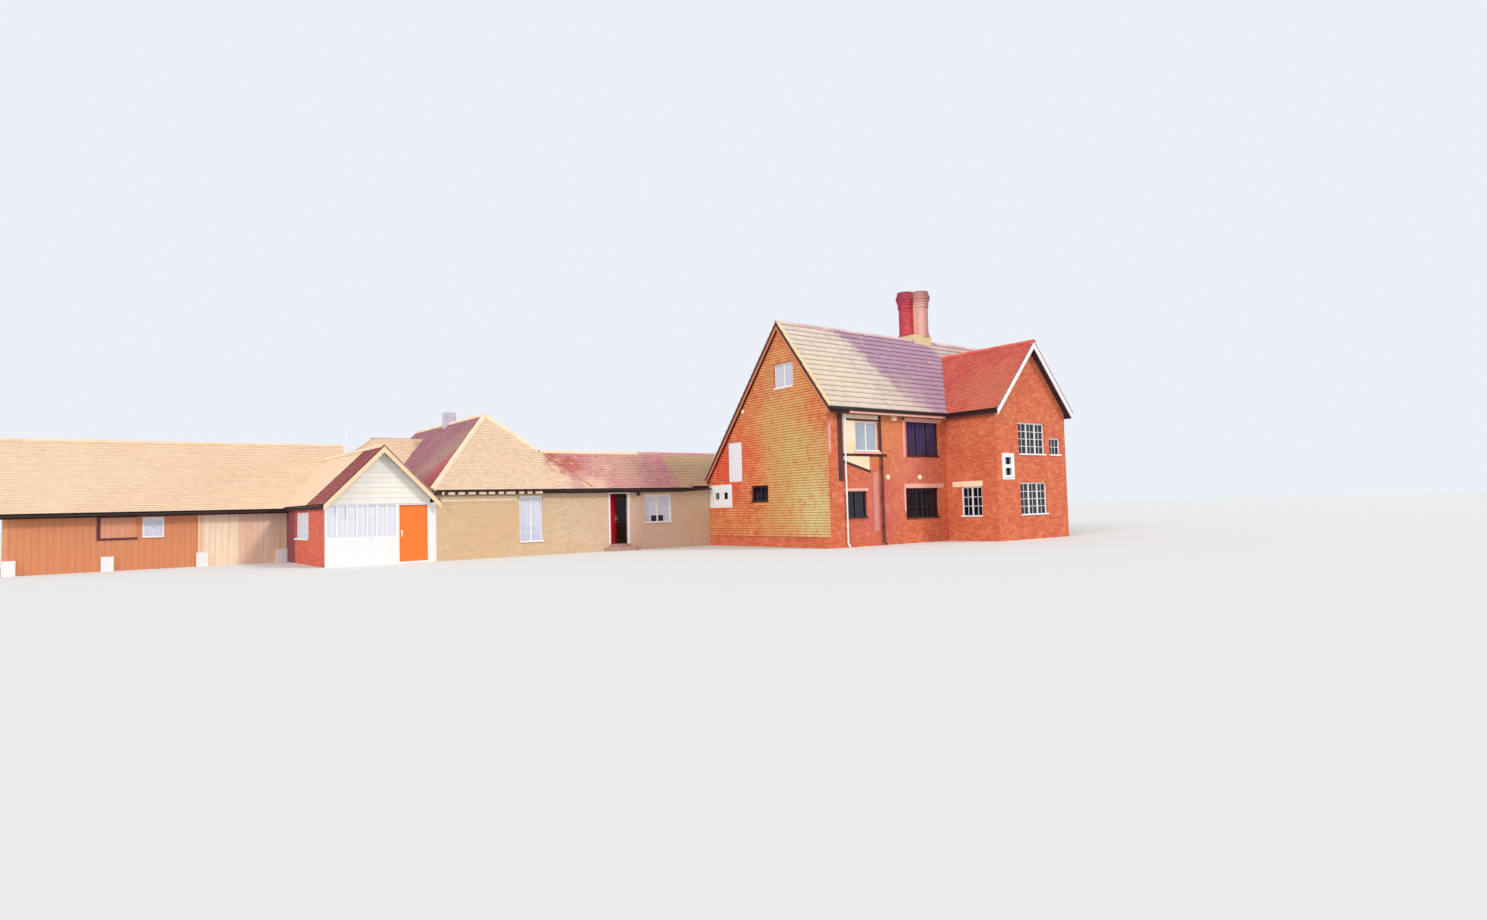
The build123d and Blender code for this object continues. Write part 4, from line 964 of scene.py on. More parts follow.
def tiled(name, node, material, kind, test=looks_up, lip=TILE_LIP, keep=None, slack=0.02, holes=()):
    """Courses of tiles laid over every face of a node that looks the right way."""
    fields = []
    for unit, corners in faces_towards(node, test):
        out = Vector(unit)
        across = Vector((0, 0, 1)).cross(out).normalized()
        up = out.cross(across).normalized()
        spots = np.stack([corners @ np.array(across), corners @ np.array(up)], axis=-1)
        low = spots.reshape(-1, 2).min(axis=0)
        high = spots.reshape(-1, 2).max(axis=0)
        if (high - low).min() < kind.gauge:
            continue
        columns = math.ceil((high[0] - low[0]) / kind.width) + 1
        rows = math.ceil((high[1] - low[1] + lip) / (2 * kind.gauge))
        field = copy_of(kind.model, name)
        array(field, 2, (kind.width / 2, kind.gauge, 0))
        array(field, columns, (kind.width, 0, 0))
        array(field, rows, (0, 2 * kind.gauge, 0))
        co = tiles_of(field)
        count = len(co)
        head = co[:, :, 1].max(axis=1, keepdims=True)
        foot_share = (head - co[:, :, 1]) / (kind.gauge * TILE_COVER)
        co[:, :, 0] += low[0] - kind.width / 2
        co[:, :, 1] += low[1] - lip
        co[:, :, 0] = np.clip(co[:, :, 0], low[0], high[0])
        co[:, :, 2] += rng.uniform(0, 0.004, (count, 1))
        lean = rng.normal(0, kind.tilt, (count, 1))
        co[:, :, 2] += (co[:, :, 0] - co[:, :, 0].mean(axis=1, keepdims=True)) * lean
        middle = co.mean(axis=1)[:, :2]
        middle[:, 1] = np.clip(middle[:, 1], low[1] + 0.01, high[1] - 0.01)
        stay = covered(middle, spots, slack) & (np.ptp(co[:, :, 0], axis=1) > 0.02)
        co[:, :, 1] = np.minimum(co[:, :, 1], high[1])
        origin = out * float(out.dot(Vector(corners[0, 0])))
        if keep is not None:
            world = middle[:, :1] * np.array(across) + middle[:, 1:] * np.array(up) + np.array(origin)
            stay &= keep(world)
        for hole in holes:
            trimmed(co, middle, across, up, hole)
        field.data.vertices.foreach_set("co", co.ravel())
        burn = np.clip(rng.normal(0.5, 0.22, count), 0, 1)
        give(field, "tile_tone", np.repeat(burn, TILE_CORNERS))
        give(field, "tile_edge", foot_share.ravel())
        if not stay.all():
            take_away(field, ~stay)
        field.data.transform(basis(origin, across, up, out))
        fields.append(field)
    return finished(joined(name, fields), material)


ROOFS = {
    "house_front": (house_tile, slab_tile), "house_back": (house_tile, slab_tile),
    "wing_left": (wing_tile, plain_tile), "wing_right": (wing_tile, plain_tile),
    "link_front": (link_tile, flat_tile), "link_front_end": (end_tile, flat_tile),
    "link_back": (link_tile, flat_tile), "block_front_hip": (link_tile, flat_tile),
    "block_left": (block_left_shaded_tile, flat_tile), "block_right": (range_tile, flat_tile),
    "cart_front": (range_tile, flat_tile), "cart_back": (range_tile, flat_tile),
    "tall_bay_front": (range_tile, flat_tile), "tall_bay_hip": (range_tile, flat_tile),
    "porch_left": (porch_tile, flat_tile), "porch_right": (range_tile, flat_tile)}
for part, (material, kind) in ROOFS.items():
    tiled(part + "_tiles", part + "_roof", material, kind)

# The hung tiles of the gable stop at its openings and above its brick foot
GABLE_OPENINGS = [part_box("loft_door"), (site(0, 1.78, 5.85), site(0, 2.91, 6.82)),
                  (site(0, 5.89, 1.39), site(0, 7.0, 2.16)), (site(0, 3.45, 1.51), site(0, 4.5, 2.16))]
BRICK_FOOT = 0.22
tiled("gable_hung_tiles", "left_gable_wall", gable_tile, plain_tile, lambda normal: normal[0] < -0.99,
      0.0, lambda place: place[:, 2] > HOUSE_GROUND + BRICK_FOOT, 0.0, GABLE_OPENINGS)


# Ridge and hip tiles
def cap_pattern():
    """One half-round clay ridge tile, its length along +X."""
    tile = open_tube(RIDGE_RADIUS, CAP_TILE, 16, math.pi / 16)
    edit(tile)
    bpy.ops.mesh.select_all(action="SELECT")
    bpy.ops.mesh.bisect(plane_co=(0, 0, -RIDGE_RADIUS * 0.15), plane_no=(0, 0, 1), clear_inner=True)
    bpy.ops.mesh.select_all(action="SELECT")
    bpy.ops.mesh.normals_make_consistent(inside=False)
    bpy.ops.object.mode_set(mode="OBJECT")
    thicken(tile, 0.02)
    return tile


def capped(name, start, end, material, sink=0.05):
    """Half-round tiles end to end along a ridge or hip line."""
    start = Vector(start)
    end = Vector(end)
    run = end - start
    along = run.normalized()
    side = Vector((0, 0, 1)).cross(along).normalized()
    out = along.cross(side)
    count = max(1, round(run.length / CAP_TILE))
    row = cap_pattern()
    array(row, count, (CAP_TILE, 0, 0))
    each = len(row.data.vertices) // count
    give(row, "tile_tone", np.repeat(rng.uniform(0.2, 1.0, count), each))
    co = np.zeros(count * each * 3)
    row.data.vertices.foreach_get("co", co)
    co = co.reshape(count, each, 3)
    lift = rng.uniform(0, 0.008, (count, 1))
    co[:, :, 2] += lift
    co[:, :, 0] *= run.length / (count * CAP_TILE)
    row.data.vertices.foreach_set("co", co.ravel())
    foot = start - out * sink
    row.data.transform(basis(foot, along, side, out))
    finished(joined(name, [row]), material)
    bedding = [rod(foot + along * near_end, foot + along * far_end, RIDGE_RADIUS * 0.92, 16)
               for near_end, far_end in ((0.015, 0.07), (run.length - 0.07, run.length - 0.015))]
    finished(joined(name + "_bedding", bedding), verge_mortar)


def level_cap(name, axis, start, end, peak, material, sink=0.06):
    """Ridge tiles along x or y at the height of a peak."""
    first = Vector(peak)
    last = Vector(peak)
    first[axis] = start
    last[axis] = end
    capped(name, first, last, material, sink)


# A roof's underside stands this far below its tiled edge on the low ranges
RANGE_DROP = 0.19

# The link's ridge tiles are pale over its first stretch
PALE_STRETCH = 4.4
house_roof_low, house_roof_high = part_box("house_front_roof")
wing_roof_low, wing_roof_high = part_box("wing_left_roof")
link_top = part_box("link_front_roof")[1]
hip_low, hip_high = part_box("block_front_hip_roof")
cart_roof_low, cart_roof_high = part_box("cart_front_roof")
porch_roof_low, porch_roof_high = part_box("porch_left_roof")
block_peak = Vector((hip_low.x / 2 + hip_high.x / 2, hip_high.y, hip_high.z))
link_fall = (block_peak.z - link_top.z) / (block_peak.z - hip_low.z - RANGE_DROP)
link_peak = Vector((block_peak.x + link_fall * (hip_high.x - block_peak.x), link_top.y, link_top.z))
link_ridge_change = link_peak.x + PALE_STRETCH

level_cap("house_ridge_left", X, house_roof_low.x, stack_low.x, house_roof_high, slab_cap_tile)
level_cap("house_ridge_right", X, stack_high.x, house_roof_high.x, house_roof_high, slab_cap_tile)
level_cap("wing_ridge", Y, wing_roof_low.y, wing_roof_high.y, wing_roof_high, wing_tile)
level_cap("block_ridge", Y, hip_high.y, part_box("block_left_roof")[1].y, block_peak, cap_tile)
capped("block_left_hip", hip_low + Vector((0, 0, RANGE_DROP)), block_peak, cap_tile)
capped("block_right_hip", link_peak, block_peak, cap_tile)
level_cap("link_ridge_left", X, link_peak.x, link_ridge_change, link_peak, cap_tile, 0.08)
level_cap("link_ridge_right", X, link_ridge_change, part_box("link_front_end_roof")[1].x, link_peak,
          link_tile, 0.08)
level_cap("cart_ridge", X, cart_roof_low.x, cart_roof_high.x, cart_roof_high, range_tile)
level_cap("porch_ridge", Y, porch_roof_low.y, porch_roof_high.y, porch_roof_high, cap_tile)


# Glazing bars in the panes that have them
def panes_of(node):
    """The box of each pane in a node of glass."""
    whole = copy_of(nodes[node], "panes")
    whole.parent = None
    before = set(bpy.data.objects)
    edit(whole)
    bpy.ops.mesh.select_all(action="SELECT")
    bpy.ops.mesh.remove_doubles(threshold=0.0001)
    bpy.ops.mesh.select_all(action="SELECT")
    bpy.ops.mesh.separate(type="LOOSE")
    bpy.ops.object.mode_set(mode="OBJECT")
    found = [whole] + [piece for piece in bpy.data.objects if piece not in before]
    boxes = []
    for piece in found:
        co = np.array([vertex.co for vertex in piece.data.vertices])
        boxes.append((co.min(axis=0), co.max(axis=0)))
        bpy.data.objects.remove(piece)
    return sorted(boxes, key=lambda pane: tuple(pane[0]))


def bars(name, node, pitch, face, material, has_bars=lambda low: True):
    """Bars that share out each pane, standing proud of both faces of the glass."""
    made = []
    depth = 0.012
    for low, high in panes_of(node):
        if not has_bars(low):
            continue
        along = 0 if high[0] - low[0] > high[1] - low[1] else 1
        thin = 1 - along
        for axis, apart in ((along, pitch[0]), (2, pitch[1])):
            parts = max(1, round((high[axis] - low[axis]) / apart))
            for step in range(1, parts):
                middle = low[axis] + (high[axis] - low[axis]) * step / parts
                a = low.copy()
                b = high.copy()
                a[thin] -= depth
                b[thin] += depth
                a[axis] = middle - face / 2
                b[axis] = middle + face / 2
                made.append(block("bar", a, b, 0))
    return finished(joined(name, made), material)


def on_house_front(low):
    return HOUSE_Y - 0.2 < low[1] < HOUSE_Y + 0.4


def leaded(low):
    """The right hand windows of the front are leaded."""
    return on_house_front(low) and low[0] > HOUSE_X + 4.0


def plain(low):
    """The gable's panes and the front's left hand ones have no bars."""
    return low[0] < HOUSE_X + 0.4 or (on_house_front(low) and low[0] < HOUSE_X + 4.0)


bars("house_window_bars", "house_window_glass", (0.24, 0.32), 0.022, white_paint,
     lambda low: not leaded(low) and not plain(low))
bars("house_leaded_bars", "house_window_glass", (0.16, 0.22), 0.012, black_paint, leaded)
bars("yard_window_bars", "yard_window_glass", (0.26, 0.29), 0.026, white_paint)
bars("porch_glazing_bars", "porch_glass", (0.4, 0.34), 0.026, white_paint)


# Timber, plaster and lintels on the house
def bar_between(name, start, end, wide, proud, out):
    """A squared timber along a wall between two places, standing proud of it."""
    start = Vector(start)
    run = Vector(end) - start
    along = run.normalized()
    out = Vector(out)
    side = out.cross(along)
    piece = block(name, (0, -wide / 2, -0.01), (run.length, wide / 2, proud), 0.006)
    piece.data.transform(basis(start, along, side, out))
    return piece


def on_front(x0, z0, x1, z1, proud):
    return block("piece", site(x0, -proud, z0), site(x1, 0.01, z1))


def front_set(name, rows, material, more=()):
    """Flat pieces on the house's front, each given by its corners and how proud it stands."""
    finished(joined(name, [on_front(*row) for row in rows] + list(more)), material)


brace = bar_between("brace", site(0.72, 0, 2.92), site(2.14, 0, 2.54), 0.08, 0.03, SOUTH)
# The post from 2.63 to 2.77 is a dark piece where the plaster panel's edge casts a shadow line, painted shade
front_set("front_timbers", [(0.5, 2.2, 0.72, 4.66, 0.035), (2.63, 3.1, 2.77, 4.66, 0.035),
                            (0.5, 3.11, 3.05, 3.2, 0.03), (0.95, 4.43, 2.63, 4.5, 0.03),
                            (4.0, 4.56, 4.1, 4.66, 0.03)], dark_oak, [brace])

foot_panel = on_front(0.7, 2.56, 2.1, 3.13, 0.014)
panel_corner = site(0.8, 0, 2.7)
reshape(foot_panel, lambda co: co.z < panel_corner.z and co.x < panel_corner.x,
        bpy.ops.transform.translate, value=(0, 0, 0.34))
front_set("front_plaster", [(0.7, 3.18, 1.4, 4.66, 0.014), (1.38, 4.41, 2.65, 4.66, 0.014),
                            (1.38, 3.18, 2.65, 3.29, 0.014)], plaster, more=[foot_panel])
front_set("front_lintels", [(1.3, 3.2, 2.68, 3.29, 0.09), (4.0, 1.9, 6.3, 2.07, 0.03),
                            (3.96, 1.0, 4.05, 1.92, 0.025), (0.75, 1.81, 1.98, 1.92, 0.03),
                            (4.05, 4.5, 6.3, 4.66, 0.016), (4.0, 3.1, 4.1, 4.56, 0.02)], pink_paint)
fascia = block("front_fascia", site(0.9, -0.262, 4.67), site(6.3, -0.24, 4.76))
finished(fascia, pink_paint)


def pierced(name, place, u0, u1, v0, v1, holes, upright=True):
    """A thin boarding with holes in one row or one column, from pieces that meet edge to edge."""
    edges = [u0] if upright else [v0]
    parts = []
    for a0, a1, b0, b1 in holes:
        if upright:
            parts += [(edges[-1], a0, v0, v1), (a0, a1, v0, b0), (a0, a1, b1, v1)]
            edges.append(a1)
        else:
            parts += [(u0, u1, edges[-1], b0), (u0, a0, b0, b1), (a1, u1, b0, b1)]
            edges.append(b1)
    parts.append((edges[-1], u1, v0, v1) if upright else (u0, u1, edges[-1], v1))
    return joined(name, [place(*part) for part in parts])


def gable_board(y0, y1, z0, z1):
    return block("board", site(-0.03, y0, z0), site(0.01, y1, z1), 0)


# White boards round the small gable window, with two dark panes left clear
surround = pierced("gable_window_surround", gable_board, 5.78, 7.36, 1.33, 2.28,
                   [(6.07, 6.33, 1.68, 1.96), (6.67, 6.93, 1.68, 1.96)])
finished(surround, white_paint)


# Gutters and pipes
COLLAR = 0.07
JOINT_PITCH = 1.8
BRACKET_PITCH = 0.9
CLIP_PITCH = 1.2


def trough(radius, length):
    """A half-round channel along +X, open at the top."""
    made = open_tube(radius, length, 14)
    edit(made)
    bpy.ops.mesh.select_all(action="SELECT")
    bpy.ops.mesh.bisect(plane_co=(0, 0, 0), plane_no=(0, 0, 1), clear_outer=True)
    bpy.ops.object.mode_set(mode="OBJECT")
    thicken(made, 0.006)
    return made


def gutter(name, start, end, inward, radius):
    """A half-round gutter with lapped joints, held by brackets from the eave."""
    start = Vector(start)
    run = Vector(end) - start
    along = run.normalized()
    parts = [trough(radius, run.length)]
    joints = max(1, round(run.length / JOINT_PITCH))
    for step in range(joints + 1):
        collar = trough(radius + 0.008, COLLAR)
        collar.data.transform(Matrix.Translation(((run.length - COLLAR) * step / joints, 0, 0)))
        parts.append(collar)
    brackets = max(1, round(run.length / BRACKET_PITCH))
    side = Vector((0, 0, 1)).cross(along)
    reach = radius + 0.05
    toward = 1 if side.dot(Vector(inward)) > 0 else -1
    for step in range(brackets):
        x = run.length * (step + 0.5) / brackets
        parts.append(block("bracket", (x - 0.012, min(0, toward * reach), -radius - 0.014),
                           (x + 0.012, max(0, toward * reach), -radius), 0.002))
    whole = joined(name, parts)
    whole.data.transform(basis(start, along, side, Vector((0, 0, 1))))
    return finished(whole, black_paint)


def downpipe(name, foot, head, radius, material, out):
    """A rain pipe with collars, clips and a bent shoe."""
    foot = Vector(foot)
    head = Vector(head)
    out = Vector(out)
    across = Vector((0, 0, 1)).cross(out)
    parts = [rod(foot + Vector((0, 0, 0.12)), head, radius),
             rod(foot + Vector((0, 0, 0.15)), foot + out * 0.1 + Vector((0, 0, 0.03)), radius * 1.05)]
    count = max(1, round((head.z - foot.z) / CLIP_PITCH))
    for step in range(count):
        level = foot + (head - foot) * ((step + 0.6) / count)
        parts.append(rod(level, level + Vector((0, 0, COLLAR)), radius * 1.3))
        wall = level - out * radius
        parts.append(bar_between("clip", wall - across * radius * 2, wall + across * radius * 2,
                                 0.03, 0.006, out))
    return finished(joined(name, parts), material)


# A gutter's centre line stands this far below the tiled edge
EDGE_DROP = 0.06
HOUSE_EDGE = house_roof_low.z + HOUSE_ROOF_EDGE - EDGE_DROP
RANGE_EDGE = hip_low.z + RANGE_DROP - EDGE_DROP
house_back_low, house_back_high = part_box("house_back_roof")
cart_back_low, cart_back_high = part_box("cart_back_roof")
wing_far_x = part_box("wing_right_roof")[1].x
link_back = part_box("link_back_roof")[1]
block_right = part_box("block_right_roof")[1]
BACK_EDGE = house_back_low.z + HOUSE_ROOF_EDGE - EDGE_DROP
PORCH_EDGE = porch_roof_low.z + RANGE_DROP - EDGE_DROP
front_line = house_roof_low.y - 0.05

# Where the thin gutter of the block meets the thick one of the link
thick_line = HOUSE_X - 6.9

# Each gutter: the way it runs, its two ends, its line, its level, where the wall is, and its radius
GUTTERS = {
    "house_front_gutter": (X, house_roof_low.x + 0.03, wing_roof_low.x - 0.12, front_line, HOUSE_EDGE,
                           NORTH, 0.06),
    "house_front_gutter_right": (X, wing_far_x + 0.12, house_roof_high.x - 0.03, front_line, HOUSE_EDGE,
                                 NORTH, 0.06),
    "wing_left_gutter": (Y, wing_roof_low.y + 0.06, house_roof_low.y - 0.12, wing_roof_low.x - 0.05,
                         HOUSE_EDGE, EAST, 0.06),
    "wing_right_gutter": (Y, wing_roof_low.y + 0.06, house_roof_low.y - 0.12, wing_far_x + 0.05,
                          HOUSE_EDGE, WEST, 0.06),
    "house_back_gutter": (X, house_back_low.x + 0.03, house_back_high.x - 0.03, house_back_high.y + 0.05,
                          BACK_EDGE, SOUTH, 0.06),
    "block_front_gutter": (X, hip_low.x + 0.5, thick_line, hip_low.y - 0.04, RANGE_EDGE, NORTH, 0.04),
    "link_front_gutter": (X, thick_line + 0.02, HOUSE_X - 0.12, hip_low.y - 0.06, RANGE_EDGE, NORTH, 0.07),
    "cart_front_gutter": (X, cart_roof_low.x + 0.03, porch_roof_low.x - 0.02, cart_roof_low.y - 0.06,
                          cart_roof_low.z + RANGE_DROP - 0.07, NORTH, 0.07),
    "cart_back_gutter": (X, cart_back_low.x + 0.03, hip_low.x - 0.1, cart_back_high.y + 0.06,
                         cart_back_low.z + RANGE_DROP - EDGE_DROP, SOUTH, 0.06),
    "porch_left_gutter": (Y, porch_roof_low.y + 0.08, cart_roof_low.y - 0.15, porch_roof_low.x - 0.05,
                          PORCH_EDGE, EAST, 0.045),
    "block_right_gutter": (Y, link_back.y + 0.15, block_right.y - 0.03, block_right.x + 0.05, RANGE_EDGE,
                           WEST, 0.06),
    "link_back_gutter": (X, block_right.x + 0.15, link_back.x - 0.03, link_back.y + 0.05, RANGE_EDGE,
                         SOUTH, 0.06)}
for name, (axis, start, end, line, level, inward, radius) in GUTTERS.items():
    first = Vector((line, line, level))
    last = Vector((line, line, level))
    first[axis] = start
    last[axis] = end
    gutter(name, first, last, inward, radius)

downpipe("front_white_downpipe", site(0.79, -0.08, -HOUSE_GROUND), site(0.79, -0.08, 4.68), 0.03,
         white_paint, SOUTH)
downpipe("front_waste_pipe", site(2.7, -0.08, -HOUSE_GROUND), site(2.7, -0.08, 3.1), 0.045,
         maroon_paint, SOUTH)
downpipe("house_back_downpipe", (house_back_high.x - 0.6, house_high.y + 0.06, 0),
         (house_back_high.x - 0.6, house_high.y + 0.06, BACK_EDGE - 0.08), 0.036, black_paint, NORTH)

# Eave of the hipped block: pale board, dark rafter feet and a limed band on the wall
eave_left = porch_roof_high.x * 2 - porch_roof_low.x + 0.05
eave_right = HOUSE_X - 7.75
strip = block("strip", (eave_left, hip_low.y - 0.014, HOUSE_GROUND + 2.045),
              (eave_right, hip_low.y + 0.002, HOUSE_GROUND + 2.135), 0.002)
finished(strip, plaster)
FOOT_PITCH = 0.36
feet = []
for step in range(int((eave_right - eave_left) / FOOT_PITCH)):
    x = eave_left + 0.1 + FOOT_PITCH * step + rng.uniform(-0.04, 0.04)
    feet.append(block("foot", (x, hip_low.y - 0.03, HOUSE_GROUND + 2.03),
                      (x + rng.uniform(0.07, 0.13), hip_low.y, HOUSE_GROUND + 2.14), 0.004))
finished(joined("block_rafter_feet", feet), dark_oak)
wall_face = hip_low.y + 0.2
band = block("block_limed_band", (eave_left, wall_face - 0.016, HOUSE_GROUND + 1.8),
             (HOUSE_X - 8.66, wall_face + 0.01, HOUSE_GROUND + 1.98), 0.003)
finished(band, plaster)

# Boarded range: dark strips of painted shade round the hatch's recess, and the pale post over the second
# block
HATCH_SHADE_STRIPS = [(HATCH_LOW.x - 0.1, HATCH_LOW.x, 0.045, HATCH_LOW.z - 0.07, HATCH_HIGH.z + 0.04),
               (HATCH_LOW.x, HATCH_HIGH.x + 0.05, 0.045, HATCH_LOW.z - 0.07, HATCH_LOW.z),
               (HATCH_LOW.x, HATCH_HIGH.x + 0.05, 0.04, HATCH_HIGH.z, HATCH_HIGH.z + 0.03)]
shade_strips = [block("edge", (x0, CART_LOW.y - proud, z0), (x1, CART_LOW.y + 0.01, z1))
         for x0, x1, proud, z0, z1 in HATCH_SHADE_STRIPS]
finished(joined("hatch_edges", shade_strips), maroon_paint)
post_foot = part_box("cart_post_blocks")[1].z
post = block("cart_pale_post", (HOUSE_X - 18.0, CART_LOW.y - 0.05, post_foot),
             (HOUSE_X - 17.92, CART_LOW.y + 0.05, post_foot + 1.8), 0.006)
finished(post, cream_paint)

# Boards that close the range's back wall up to the block
back_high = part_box("cart_back_wall")[1]
block_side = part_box("block_back_wall")[0].x
BACK_BOARDS = 3
board_pitch = (block_side - back_high.x) / BACK_BOARDS
closing = [block("board", (back_high.x + board_pitch * step, back_high.y - 0.03, 0),
                 (back_high.x + board_pitch * (step + 1) - 0.004, back_high.y - 0.002,
                  back_high.z + 0.15))
           for step in range(BACK_BOARDS)]
finished(joined("cart_back_closing_boards", closing), barn_boards)

# Boards that close the open end of the range's roof over the taller bay
CART_PITCH = math.radians(42.6)
END_FALL = 0.85
END_SPREAD = END_FALL / math.tan(CART_PITCH)
end_boards = block("cart_roof_end_boards", cart_roof_high - Vector((0, END_SPREAD, END_FALL)),
                   cart_roof_high + Vector((0.03, END_SPREAD, -0.01)), 0)
reshape(end_boards, lambda co: co.z > cart_roof_high.z - END_FALL / 2,
        bpy.ops.transform.resize, value=(1, 0.02, 1), center_override=cart_roof_high)
finished(end_boards, barn_boards)

# Porch: drip board under the gable boards, and a light pole behind
gable_low, gable_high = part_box("porch_gable_boards")
drip = block("porch_drip_board", (gable_low.x + 0.04, gable_low.y - 0.035, gable_low.z - 0.015),
             (gable_high.x - 0.04, gable_low.y + 0.01, gable_low.z + 0.02), 0.004)
finished(drip, white_paint)
pole = [rod(site(-13.32, 12.2, 3.55), site(-13.32, 12.2, 4.5), 0.022),
        rod(site(-13.32, 12.2, 4.48), site(-13.32, 12.2, 4.53), 0.034)]
finished(joined("roof_pole", pole), white_paint)

# White boards round the wing's small window and a lintel on its side
wing_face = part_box("wing_front_wall")[0].y


def wing_board(x0, x1, z0, z1):
    low = Vector((HOUSE_X + x0, wing_face - 0.025, HOUSE_GROUND + z0))
    return block("board", low, Vector((HOUSE_X + x1, wing_face + 0.01, HOUSE_GROUND + z1)), 0)


small = pierced("wing_window_surround", wing_board, 6.87, 7.63, 2.13, 3.16,
                [(7.05, 7.45, 2.3, 2.58), (7.05, 7.45, 2.72, 3.0)], False)
finished(small, white_paint)
side_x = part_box("wing_side_walls")[0].x
lintel = block("wing_side_lintel", (side_x - 0.025, HOUSE_Y - 1.75, HOUSE_GROUND + 1.9),
               (side_x + 0.01, HOUSE_Y - 0.3, HOUSE_GROUND + 2.12))
finished(lintel, plaster)


# Lamps
def wall_lamp(name, place, out, radius=0.1):
    """A round bulkhead light: a ring on the wall with a pale dome."""
    place = Vector(place)
    out = Vector(out)
    ring = rod(place - out * 0.01, place + out * 0.045, radius, 18)
    deselect()
    bpy.ops.mesh.primitive_uv_sphere_add(segments=18, ring_count=10, radius=radius * 0.82)
    dome = bpy.context.object
    dome.data.transform(Matrix.Translation(place + out * 0.035))
    return finished(joined(name, [ring, dome]), lamp_glass)


lamp_glass = paint_finish("lamp_glass", (252, 240, 206), (226, 200, 150), 0.15, 0.25)
wall_lamp("front_lamp_left", site(3.05, 0, 2.32), SOUTH)
wall_lamp("front_lamp_right", site(4.88, 0, 2.32), SOUTH)
wall_lamp("gable_lamp", site(0, 4.9, 5.2), WEST, 0.08)
eave_box = [block("case", site(3.32, -0.13, 4.5), site(3.56, 0.01, 4.78)),
            block("lid", site(3.3, -0.16, 4.77), site(3.58, 0.01, 4.8))]
finished(joined("eave_box", eave_box), cream_paint)

lantern_place = site(-3.62, YARD_FRONT - 0.18, 2.02)
lantern_body = block("body", lantern_place - Vector((0.07, 0.07, 0.12)),
                     lantern_place + Vector((0.07, 0.07, 0.1)))
reshape(lantern_body, lambda co: co.z < lantern_place.z, bpy.ops.transform.resize, value=(0.6, 0.6, 1.0))
hood = block("hood", lantern_place + Vector((-0.09, -0.09, 0.1)), lantern_place + Vector((0.09, 0.09, 0.2)))
reshape(hood, lambda co: co.z > lantern_place.z + 0.15, bpy.ops.transform.resize, value=(0.2, 0.2, 1.0))
arm = rod(lantern_place + Vector((0, 0, 0.16)), lantern_place + Vector((0, 0.19, 0.16)), 0.012)
finished(joined("door_lantern", [lantern_body, hood, arm]), black_paint)

# Mortar along the front slope's verge
edge_foot = Vector((house_roof_low.x, house_roof_low.y, house_roof_low.z + HOUSE_ROOF_EDGE))
edge_head = Vector((house_roof_low.x, house_roof_high.y, house_roof_high.z))
slope = (edge_head - edge_foot).normalized()
fillet = block("front_verge_mortar", (0.0, 0.0, -0.01), (0.11, (edge_head - edge_foot).length, 0.075), 0.012)
fillet.data.transform(basis(edge_foot, Vector((1, 0, 0)), slope, Vector((1, 0, 0)).cross(slope)))
finished(fillet, verge_mortar)


# Doors
def leaf_side(node, outer):
    """The matrix of a door leaf's outer or inner face, from one lower corner, with its width and height."""
    faces = faces_towards(node, lambda n: abs(n[2]) < 0.1)
    faces.sort(key=lambda face: np.ptp(face[1].reshape(-1, 3) @ np.array((-face[0][1], face[0][0], 0))))
    pair = sorted(faces[-2:], key=lambda face: face[0][1])
    unit, corners = pair[0 if outer else 1]
    out = Vector(unit)
    across = Vector((0, 0, 1)).cross(out).normalized()
    spots = corners.reshape(-1, 3)
    along = spots @ np.array(across)
    origin = out * float(unit @ spots[0]) + across * float(along.min())
    origin.z += float(spots[:, 2].min())
    return basis(origin, across, Vector((0, 0, 1)), out), float(np.ptp(along)), float(np.ptp(spots[:, 2]))


def hung_from_start(matrix, width, pins):
    """Whether the leaf's hinge is at the end where its face starts."""
    start = matrix.translation
    end = start + matrix.to_3x3() @ Vector((width, 0, 0))
    return (start.xy - pins).length < (end.xy - pins).length


def fitted(name, parts, matrix, material, body):
    """Small parts drawn flat and laid on a door's face."""
    whole = joined(name, parts)
    whole.data.transform(matrix)
    finished(whole, material, body)


def door_fittings(node, body, pins, boards):
    """Ledges on the inside, strap hinges and a latch plate outside."""
    matrix, width, height = leaf_side(node, False)
    ledges = [block("ledge", (0.03, height * share - 0.07, -0.002),
                    (width - 0.03, height * share + 0.07, 0.02)) for share in LEDGES]
    fitted(node + "_ledges", ledges, matrix, boards, body)
    matrix, width, height = leaf_side(node, True)
    at_start = hung_from_start(matrix, width, pins)
    reach = width * 0.6
    low, high = (0.01, reach) if at_start else (width - reach, width - 0.01)
    straps = [block("strap", (low, height * share - 0.02, -0.002), (high, height * share + 0.02, 0.006),
                    0.002) for share in STRAPS]
    fitted(node + "_straps", straps, matrix, boards, body)
    grip = width - 0.09 if at_start else 0.09
    middle = height * 0.5
    latch = [block("plate", (grip - 0.03, middle - 0.11, -0.002), (grip + 0.03, middle + 0.11, 0.006), 0.002),
             rod((grip, middle, 0.0), (grip, middle, 0.045), 0.012),
             rod((grip, middle, 0.04), (grip, middle, 0.065), 0.026, 14)]
    fitted(node + "_latch", latch, matrix, lamp_glass, body)


# Levels of a door's ledges and straps, as shares of the leaf
LEDGES = (0.14, 0.5, 0.86)
STRAPS = (0.14, 0.86)

# Where each door's pins stand in plan
LINK_PINS = Vector((0.476, -0.472))
PORCH_PINS = Vector((-6.626, -0.465))
door_fittings("link_door", "link_door_leaf", LINK_PINS, red_paint)
door_fittings("porch_door", "porch_door_leaf", PORCH_PINS, orange_paint)


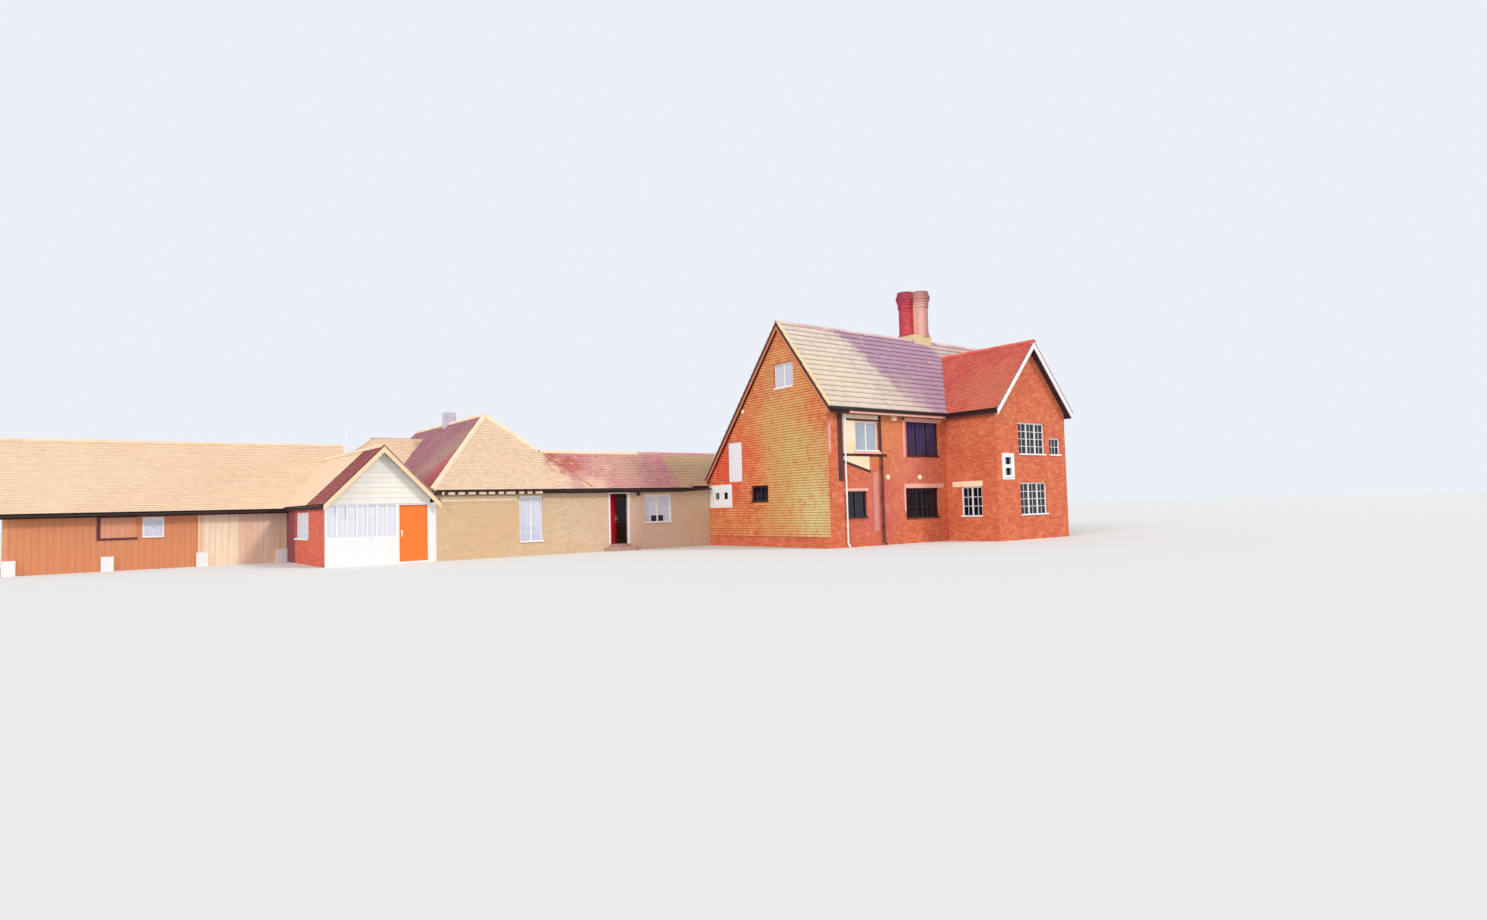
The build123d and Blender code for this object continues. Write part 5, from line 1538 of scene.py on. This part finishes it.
# Studio
def make_stage():
    deselect()
    bpy.ops.mesh.primitive_plane_add(size=STUDIO_SIZE, location=(0, 0, 0))
    ground = bpy.context.object
    ground.name = "studio_floor"
    finish = Finish("studio_floor", 0.95)
    tree = finish.tree
    soft = noise(tree, finish.place, 0.2, 2.0)
    finish.colour(mix(tree, calc(tree, "MULTIPLY", soft, 0.1), srgb(226, 226, 224), srgb(214, 214, 212)))
    coat(ground, finish.material)
    world = bpy.data.worlds.new("studio")
    bpy.context.scene.world = world
    world.use_nodes = True
    tree = world.node_tree
    back = tree.nodes["Background"]
    path = tree.nodes.new("ShaderNodeLightPath")
    seen = calc(tree, "MAXIMUM", path.outputs["Is Camera Ray"], path.outputs["Is Glossy Ray"])
    seen = calc(tree, "MAXIMUM", seen, path.outputs["Is Transmission Ray"])
    back.inputs["Color"].default_value = srgb(236, 240, 248)
    tree.links.new(remap(tree, seen, 0.0, 1.0, SKY_LIGHT, 1.0), back.inputs["Strength"])
    for name, power, origin, spread in (("studio_key", KEY_LIGHT, KEY_FROM, 9),
                                        ("studio_fill", FILL_LIGHT, FILL_FROM, 30)):
        lamp = bpy.data.lights.new(name, "SUN")
        lamp.energy = power
        lamp.angle = math.radians(spread)
        lamp.color = SUN_COLOUR
        held = bpy.data.objects.new(name, lamp)
        bpy.context.scene.collection.objects.link(held)
        held.rotation_mode = "QUATERNION"
        held.rotation_quaternion = Vector(origin).to_track_quat("Z", "Y")


STUDIO_SIZE = 600
SUN_COLOUR = (1.0, 0.965, 0.91)
SKY_LIGHT = 0.72
KEY_LIGHT = 1.4
KEY_FROM = (0.42, -0.72, 0.62)
FILL_LIGHT = 1.45
FILL_FROM = (-0.85, -0.25, 0.45)
make_stage()

# Camera, worked out from the lines of the photographed building
CAMERA_PLACE = Vector((-16.557, -31.026, 1.597))
CAMERA_YAW = 0.662
CAMERA_PITCH = 0.053
CAMERA_ROLL = 0.027
FOCAL_PIXELS = 876.94
PHOTO_WIDTH = 1487
SENSOR_WIDTH = 36

ahead = Vector((math.sin(CAMERA_YAW), math.cos(CAMERA_YAW), 0))
right = Vector((math.cos(CAMERA_YAW), -math.sin(CAMERA_YAW), 0))
sky = Vector((0, 0, 1))
look = ahead * math.cos(CAMERA_PITCH) + sky * math.sin(CAMERA_PITCH)
above = sky * math.cos(CAMERA_PITCH) - ahead * math.sin(CAMERA_PITCH)
turned_right = right * math.cos(CAMERA_ROLL) - above * math.sin(CAMERA_ROLL)
turned_up = above * math.cos(CAMERA_ROLL) + right * math.sin(CAMERA_ROLL)
lens = bpy.data.cameras.new("camera")
lens.sensor_width = SENSOR_WIDTH
lens.lens = SENSOR_WIDTH * FOCAL_PIXELS / PHOTO_WIDTH
lens.clip_end = 500
camera = bpy.data.objects.new("camera", lens)
bpy.context.scene.collection.objects.link(camera)
camera.matrix_world = basis(CAMERA_PLACE, turned_right, turned_up, -look)
bpy.context.scene.camera = camera
bpy.context.scene.view_settings.view_transform = "Standard"

# The patterns that tiles were copied from aren't part of the building
for kind in (plain_tile, flat_tile, slab_tile):
    bpy.data.objects.remove(kind.model)
